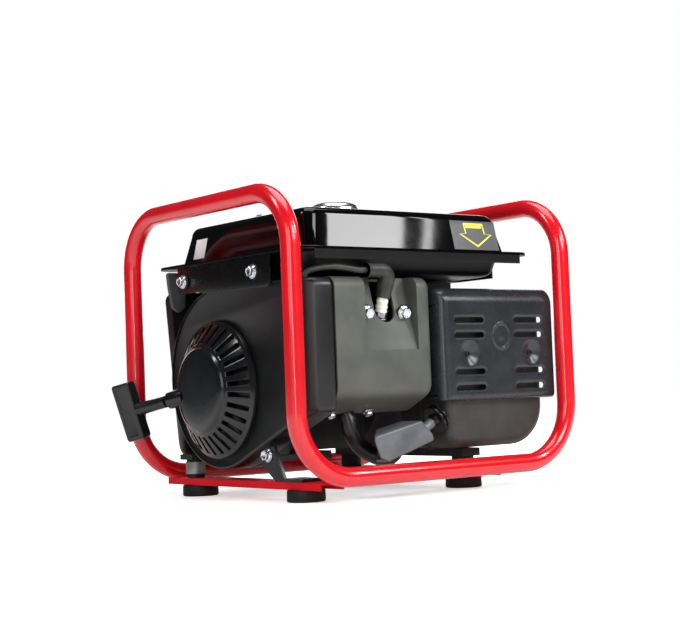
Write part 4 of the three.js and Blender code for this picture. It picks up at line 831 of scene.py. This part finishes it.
def build_tank():
    def ring_at(by, z, radius, crown=CROWN):
        x, y = (TANK_X[0] + by, TANK_X[1] - by), (TANK_Y[0] + by, TANK_Y[1] - by)
        return dense_ring(x, y, z, radius, crown)

    rings = [ring_at(0, 254.3, 16), ring_at(HEEL_IN, HEEL, 16), ring_at(SHOULDER_IN, SHOULDER, 15)]
    edge = 8
    for k in range(1, 9):
        t = k / 8 * math.radians(80)
        by = SHOULDER_IN + edge * (1 - math.cos(t)) + 1.2 * k / 8
        rings.append(ring_at(by, SHOULDER + SHOULDER_RISE * math.sin(t), 15 - k * 0.5))
    rings.append(ring_at(34, 299.5, 9, 1.0))
    rings.append(ring_at(60, TANK_TOP - 0.1, 8, 0.4))
    upper = loft("tank_top_shell", rings)
    bore = 18.2
    neck = turned("neck", [(bore, -2), (21, -2), (21, 7), (bore, 7), (bore, -2)], FILLER, Z, 48)
    cut(upper, turned("filler_hole", [(0, -6), (bore, -6), (bore, 4), (0, 4)], FILLER, Z, 48))

    def flange(by):
        return rounded(-160 + by, 160 - by, -135 + by, 146 - by, 18 - by, 10)

    def flange_plate(name, levels):
        return loft(name, [[(u, v, z) for u, v in flange(by)] for z, by in levels])

    join(upper, neck, flange_plate("flange_plate", ((254.1, 0.35), (254.4, 0), (255.3, 0), (255.7, 0.4))))
    settle(upper, BLACK_GLOSS, stands_for=["tank_upper"], angle=38)

    lower_rings = []
    for by, z, radius in ((16, 230.2, 11), (11, 231.2, 12), (7, 233.4, 13), (4.6, 236.5, 15), (0, 253, 16)):
        lower_rings.append(dense_ring((-136 + by, 135 - by), (-114 + by, 121 - by), z, radius, 0))
    lower = loft("tank_bottom_shell", lower_rings)
    low_plate = flange_plate("flange_plate_low", ((252.4, 0.4), (252.7, 0), (253.6, 0), (253.85, 0.3)))
    lip = prism("flange_lip", fillet([(-135, 253.5), (-135, 243.1), (-133.6, 243.1), (-133.6, 253.5)],
                                     [0, 0.6, 0.6, 0], 3), "x", -141, 141)
    join(lower, low_plate, lip)
    settle(lower, UNDERSIDE, stands_for=["tank_lower"], angle=38)

    # From inside the skirt out over the rim to the dished middle, and back under the top.
    cap_side = [(21.3, 2.2), (26.6, 2.0), (27.6, 2.6), (28, 3.6), (28, 9.8), (27.4, 11.6), (26.4, 13.7),
                (24.6, 15.4), (22, 16.7), (12, 18.2), (8, 18.5), (7.4, 18.1), (0, 18.1), (0, 7.4),
                (21.3, 7.4)]
    cap = turned("filler_cap", cap_side, FILLER, Z, 72)
    settle(cap, CHROME, body="cap", stands_for=["fuel_cap"], angle=40)

    gauge_side = [(6.5, 299.2), (11, 299.2), (11.2, 301.2), (10.2, 302.2), (8.4, 302.2), (7.6, 301),
                  (0, 300.8)]
    gauge = turned("level_gauge_ring", gauge_side, (-107, -2, 0), Z, 40)
    settle(gauge, CHROME, angle=40)


DECAL_X = (60, 126)
LABEL_THICK = 0.0002


def on_tank_side(x, z, lift):
    """A point on the tank's near face at that height, lifted off it by a little."""
    if z < SHOULDER:
        by = side_inset(z)
    else:
        by = SHOULDER_IN + 8 * (1 - math.sqrt(max(0, 1 - ((z - SHOULDER) / SHOULDER_RISE) ** 2)))
    middle, half = (TANK_X[0] + TANK_X[1]) / 2, (TANK_X[1] - TANK_X[0]) / 2 - by
    return (x, TANK_Y[0] + by - CROWN * (1 - min(1, abs(x - middle) / half) ** 2) - lift, z)


def decal(name, verts, faces, ink):
    obj = piece(name, verts, faces)
    modify(obj, "SOLIDIFY", thickness=LABEL_THICK, offset=0)
    settle(obj, ink)


def decal_shapes(name, polygons, ink):
    verts, faces = [], []
    for polygon in polygons:
        faces.append(tuple(range(len(verts), len(verts) + len(polygon))))
        verts += polygon
    decal(name, verts, faces, ink)


def build_decals():
    rows, columns = 10, 12
    z_low, z_high = 258.5, 291
    grid, faces = [], []
    for i in range(columns + 1):
        x = DECAL_X[0] + (DECAL_X[1] - DECAL_X[0]) * i / columns
        for j in range(rows + 1):
            grid.append(on_tank_side(x, z_low + (z_high - z_low) * j / rows, 0.18))
    for i in range(columns):
        for j in range(rows):
            a = i * (rows + 1) + j
            faces.append((a, a + 1, a + rows + 2, a + rows + 1))
    decal("decal_panel", grid, faces, LABEL_GREY)

    # A plain arrow outline that points down, with a short bar across its top.
    middle, low, wings, high = (DECAL_X[0] + DECAL_X[1]) / 2 + 2, 261.5, 276, 288.5
    arrow = [(middle - 16, high), (middle - 15, wings + 1), (middle - 24, wings), (middle, low),
             (middle + 24, wings), (middle + 14, wings + 1), (middle + 13, high)]
    inner = [(middle + (u - middle) * 0.9, wings + (v - wings) * 0.84) for u, v in arrow]
    strokes = []
    for k in range(len(arrow)):
        after = (k + 1) % len(arrow)
        strokes.append((arrow[k], arrow[after], inner[after], inner[k]))
    strokes.append(((middle - 13, 286), (middle + 10, 286), (middle + 10, 283), (middle - 13, 283)))
    strokes = [[on_tank_side(*p, 0.42) for p in stroke] for stroke in strokes]
    decal_shapes("decal_arrow", strokes, LABEL_YELLOW)

    blank = [(TANK_X[0] + side_inset(z) - 0.3, y, z) for y, z in ((72, 262), (94, 262), (94, 284), (72, 284))]
    decal_shapes("decal_blank", [blank], LABEL_WHITE)


def build_brackets():
    outline = fillet([(-79, 219), (40, 220), (62, 223), (100, 223), (100, 252), (-79, 252)],
                     [5, 8, 8, 5, 2, 2], 5)
    plate = prism("bracket_plate_left", outline, "x", -158, -155.8)
    ledge = prism("ledge", [(-60, 229.3), (40, 229.3), (40, 231.3), (-60, 231.3)], "x", -156.5, -136)
    bevel(plate, 0.5, 2)
    join(plate, ledge)
    settle(plate, BLACK_PAINT, stands_for=["tank_bracket_left"])
    for tag, y in (("near", -52), ("far", 85)):
        hex_bolt("tank_bolt_" + tag, (-158, y, 236), (-1, 0, 0), 9.5, 5, 6.6, washer=7.6, grommet=(8.6, 2.2))


def build_mount_sleeve():
    # A plain alloy collar round the far engine mount.
    sleeve = turned("mount_sleeve", [(10.1, 4), (11, 4), (11, 17), (10.4, 17.6), (10.1, 17.6), (10.1, 4)],
                    (-140, 104, 20.3), Z, 40)
    settle(sleeve, CAST)


def build_gap_shade_sheet():
    # A folded black sheet between the cylinder and the tank, put there for its darkness: painted shade that
    # closes the gap under the tank.
    side = [(-58, 229.2), (-58, 227.8), (-44, 227.8), (-44, 196), (-42.6, 196), (-42.6, 229.2)]
    shield = prism("gap_shade_sheet", side, "x", -98, 118)
    bevel(shield, 0.5, 2)
    settle(shield, UNDERSIDE)


def build_underside():
    # The drain duct and the two small bolts under the shroud.
    duct = [(-82, -92, 92), (-79, -98, 80), (-76, -100, 65), (-64, -100, 50), (-44, -99, 40), (-26, -96, 38),
            (-14, -92, 42)]
    pipe = tube("drain_duct", soft_route(duct, 8), 8.8, 28)
    settle(pipe, RUBBER_GLOSS, angle=60)
    for tag, at in (("left", (-105.5, -104, 87)), ("right", (-57.2, -104, 87.5))):
        hex_bolt("belly_bolt_" + tag, at, (0, -0.46, -0.89), 8, 4.5, 5.6)


# ------------------------------------------------------------------ far side
SOCKET = (100, 165)
BREAKER = (30, 190)


def build_far_side():
    paddle = [(-152, 210), (-144, 204), (-136, 210), (-134, 230), (-134, 249.5), (-158, 249.5), (-156, 230)]
    lever = prism("choke_paddle", fillet(paddle, [3, 3, 3, 4, 3, 3, 4], 5), "y", 122, 126.5)
    bevel(lever, 0.9, 3, 60)
    settle(lever, GREY_PLASTIC, body="choke", stands_for=["choke_lever"])

    def cover_ring(by, y):
        corners = [(-150 + by, 228 - by), (-137 + by, 50 + by * 0.5), (-126 + by * 0.7, 36 + by),
                   (-30 - by, 36 + by), (-30 - by, 228 - by)]
        return [(u, y, v) for u, v in fillet(corners, [9, 20, 12, 9, 9], 8)]

    front, radius = 148, 7
    rings = [cover_ring(0, 130.2)]
    rings += [cover_ring(radius * by, front - radius * ahead) for ahead, by in quarter(7)]
    cover = loft("filter_cover_shell", rings)
    for k in range(6):
        z = 70 + k * 20
        cut(cover, prism("louvre_%d" % k, rounded(-112, -52, z, z + 5, 2.4, 5), "y", 146.2, 150))
    bevel(cover, 0.4, 2, 50)
    settle(cover, HOUSING, stands_for=["air_filter_cover"], angle=36)
    knob = turned("filter_knob", [(0, 0), (9, 0), (10, -1), (10, -8), (11.5, -9), (11.5, -11), (0, -11)],
                  (-82, 154, 200), Y, 40)
    settle(knob, GREY_PLASTIC)

    hose = [(-95, 126, 225.7), (-95, 125.5, 213), (-91, 117, 195), (-86, 103, 182), (-83, 96, 168),
            (-82, 94.5, 150), (-81, 92, 130), (-78, 89.7, 119), (-74, 89.5, 118), (-70.3, 89.5, 118)]
    line = tube("fuel_line", soft_route(hose, 6), 3.2, 22)
    settle(line, RUBBER, stands_for=["fuel_hose"], angle=60)

    tap = [(-119, 238.4), (-101, 237), (-89, 236.5), (-88, 242), (-89, 247.5), (-101, 247), (-119, 245.6)]
    arm = prism("tap_arm", fillet(tap, [3, 1, 4, 2, 4, 1, 3], 5), "y", 149.5, 153.5)
    hub = turned("tap_hub", [(0, 0), (7, 0), (7, 5.2), (6, 6.2), (0, 6.2)], (-95, 149.5, 242), Y, 36)
    bevel(arm, 0.7, 3, 60)
    join(arm, hub)
    settle(arm, SWITCH_RED, body="tap_lever", stands_for=["fuel_tap_lever"])

    plate_rings = []
    for y, by in ((130.2, 0), (140.4, 0), (142, 0.5), (142.8, 1.4), (143, 2.6)):
        plate_rings.append([(u, y, v) for u, v in rounded(-27 + by, 152 - by, 92 + by, 228 - by, 8, 8)])
    plate = loft("panel_face", plate_rings)
    switch_hole = rounded(21, 39, 129, 155, 1, 3)
    cut(plate, prism("panel_socket", circle(*SOCKET, 22.3, 56), "y", 128, 146),
        prism("panel_breaker", circle(*BREAKER, 6.3, 32), "y", 128, 146),
        prism("panel_switch", switch_hole, "y", 128, 146))
    bevel(plate, 0.4, 2, 50)
    settle(plate, BLACK_PAINT, stands_for=["control_panel"], angle=36)
    for k, (x, z) in enumerate(((-19, 100), (144, 100), (-19, 220), (144, 220), (62, 100))):
        hex_bolt("panel_screw_%d" % k, (x, 143, z), (0, 1, 0), 6, 2.6, 4.2)

    socket_x, socket_z = SOCKET
    cup_side = [(0, 0), (22, 0), (22, 18.3), (26, 18.3), (26.6, 18.9), (26.4, 20.4), (25, 21), (20, 21),
                (19, 20.4), (18, 4), (0, 4)]
    cup = turned("socket_cup", cup_side, (socket_x, 125, socket_z), Y, 64)
    for k, aside in enumerate((-9.5, 9.5)):
        cut(cup, prism("pin_%d" % k, circle(socket_x + aside, socket_z, 2.6, 20), "y", 126, 131))
    settle(cup, GREY_PLASTIC, stands_for=["ac_socket"], angle=36)
    for k, low in enumerate((socket_z + 15.9, socket_z - 18.5)):
        outline = rounded(socket_x - 3, socket_x + 3, low, low + 2.6, 0.6, 3)
        settle(prism("socket_clip_%d" % k, outline, "y", 130, 145), ZINC)

    breaker_x, breaker_z = BREAKER
    button = turned("breaker_cap", [(0, 0), (6, 0), (6, 14.8), (5.6, 16), (4.8, 16.8), (3.6, 17), (0, 16.6)],
                    (breaker_x, 132, breaker_z), Y, 40)
    settle(button, SWITCH_RED, body="breaker", stands_for=["breaker_button"])
    collar = turned("breaker_collar", [(6.4, 0), (9.4, 0), (9.2, 2.2), (8.4, 2.8), (6.4, 2.8), (6.4, 0)],
                    (breaker_x, 143, breaker_z), Y, 40)
    settle(collar, BLACK_PAINT)

    bezel = prism("switch_bezel", rounded(18.5, 41.5, 126.5, 157.5, 2, 4), "y", 143, 145)
    cut(bezel, prism("bezel_hole", switch_hole, "y", 142, 146))
    bevel(bezel, 0.5, 2, 50)
    settle(bezel, BLACK_PAINT)
    side = [(-11.2, -6), (11.2, -6), (11.6, 3.0), (9, 2.2), (0, 0.6), (-9, 3.6), (-11.6, 5.2)]
    rocker = loft("rocker_key", [[(30 + w, 142 + v, 142 + u) for u, v in side] for w in (-8, 8)])
    bevel(rocker, 0.6, 2, 40)
    settle(rocker, SWITCH_RED, body="rocker", stands_for=["engine_switch"])


# ------------------------------------------------------------------ stage, lights and camera
def area(name, at, target, size, power, roll=0.0):
    """A soft panel light, turned about its own aim by roll degrees."""
    light = bpy.data.lights.new(name, "AREA")
    light.shape = "RECTANGLE"
    light.size, light.size_y = size
    light.energy = power
    obj = bpy.data.objects.new(name, light)
    bpy.context.scene.collection.objects.link(obj)
    obj.location = at
    aimed = (Vector(target) - Vector(at)).to_track_quat("-Z", "Y")
    obj.rotation_euler = (aimed @ Quaternion(Z, math.radians(roll))).to_euler()


def build_stage():
    mesh = bpy.data.meshes.new("studio_floor")
    mesh.from_pydata([(-6, -6, 0), (6, -6, 0), (6, 6, 0), (-6, 6, 0)], [], [(0, 1, 2, 3)])
    floor = bpy.data.objects.new("studio_floor", mesh)
    bpy.context.scene.collection.objects.link(floor)
    mesh.materials.append(FLOOR)
    # The floor glows more away from the object, so that it runs into the white surroundings.
    nodes, links = FLOOR.node_tree.nodes, FLOOR.node_tree.links
    shader = nodes["Principled BSDF"]
    place = nodes.new("ShaderNodeTexCoord")
    far = nodes.new("ShaderNodeVectorMath")
    far.operation = "LENGTH"
    glow = nodes.new("ShaderNodeMapRange")
    glow.inputs["From Min"].default_value, glow.inputs["From Max"].default_value = 0.15, 0.8
    glow.inputs["To Min"].default_value, glow.inputs["To Max"].default_value = 0.5, 1.0
    seen_by = nodes.new("ShaderNodeLightPath")
    dim = nodes.new("ShaderNodeMapRange")
    dim.inputs["To Min"].default_value, dim.inputs["To Max"].default_value = 0.25, 1.0
    scale = nodes.new("ShaderNodeMath")
    scale.operation = "MULTIPLY"
    links.new(place.outputs["Object"], far.inputs[0])
    links.new(far.outputs["Value"], glow.inputs["Value"])
    links.new(seen_by.outputs["Is Camera Ray"], dim.inputs["Value"])
    links.new(glow.outputs["Result"], scale.inputs[0])
    links.new(dim.outputs["Result"], scale.inputs[1])
    links.new(scale.outputs["Value"], shader.inputs["Emission Strength"])
    shader.inputs["Emission Color"].default_value = (1, 1, 1, 1)

    world = bpy.data.worlds.new("studio")
    bpy.context.scene.world = world
    world.use_nodes = True
    nodes, links = world.node_tree.nodes, world.node_tree.links
    nodes.clear()
    out = nodes.new("ShaderNodeOutputWorld")
    seen, lit = nodes.new("ShaderNodeBackground"), nodes.new("ShaderNodeBackground")
    seen.inputs["Color"].default_value = (1, 1, 1, 1)
    seen.inputs["Strength"].default_value = 1.0
    lit.inputs["Color"].default_value = (0.9, 0.93, 1, 1)
    lit.inputs["Strength"].default_value = 0.06
    rays, mix = nodes.new("ShaderNodeLightPath"), nodes.new("ShaderNodeMixShader")
    links.new(rays.outputs["Is Camera Ray"], mix.inputs["Fac"])
    links.new(lit.outputs["Background"], mix.inputs[1])
    links.new(seen.outputs["Background"], mix.inputs[2])
    links.new(mix.outputs["Shader"], out.inputs["Surface"])

    aim = (0, 0, 0.16)
    area("front_softbox", (0.3, -2.1, 1.15), aim, (0.8, 0.8), 26)
    area("tank_window", (0.969, -1.194, 1.086), (-0.07, -0.12, 0.27), (0.22, 0.5), 8.3, roll=-21.3)
    area("tank_streak", (1.146, -1.139, 1.077), (0.015, -0.12, 0.27), (0.024, 0.5), 0.74, roll=-21.3)
    area("cone_highlight", (-1.33, 0.24, 1.5), (-0.15, 0.03, 0.18), (0.3, 0.5), 7)
    area("fill_left", (-1.9, -1.1, 0.75), aim, (1.0, 1.0), 8)
    area("strip_left", (-1.45, -1.65, 0.55), aim, (0.10, 1.5), 8)
    area("top_softbox", (0.1, -0.1, 1.9), aim, (1.4, 1.4), 24)
    area("back_panel", (1.2, 1.6, 0.7), (0, 0, 0.25), (2.4, 0.9), 18)


def build_camera():
    yaw, pitch, roll = (math.radians(angle) for angle in (52.25739, 3.14736, -2.21395))
    look = Vector((math.cos(pitch) * math.cos(yaw), math.cos(pitch) * math.sin(yaw), math.sin(pitch)))
    right = look.cross(Z).normalized()
    up = right.cross(look)
    c, s = math.cos(roll), math.sin(roll)
    right, up = right * c + up * s, up * c - right * s
    camera = bpy.data.cameras.new("camera")
    camera.sensor_width = 36
    camera.lens = 80.269676
    camera.shift_x, camera.shift_y = -0.018581, -0.013674
    obj = bpy.data.objects.new("camera", camera)
    bpy.context.scene.collection.objects.link(obj)
    at = metres((-1033.523, -1346.378, 111.155))
    obj.matrix_world = Matrix(((right.x, up.x, -look.x, at.x), (right.y, up.y, -look.y, at.y),
                               (right.z, up.z, -look.z, at.z), (0, 0, 0, 1)))
    bpy.context.scene.camera = obj


build_camera()
build_stage()
build_frame()
build_feet()
build_blower()
build_recoil()
build_handle()
build_shroud()
build_plug()
build_guard()
build_muffler()
build_tail()
build_tank()
build_decals()
build_brackets()
build_mount_sleeve()
build_gap_shade_sheet()
build_underside()
build_far_side()
hex_bolt("foot_bolt", (-150.6, -55, 47), (-1, 0, 0), 10, 5, 7, washer=7.6)

bpy.context.scene.view_settings.view_transform = "Standard"
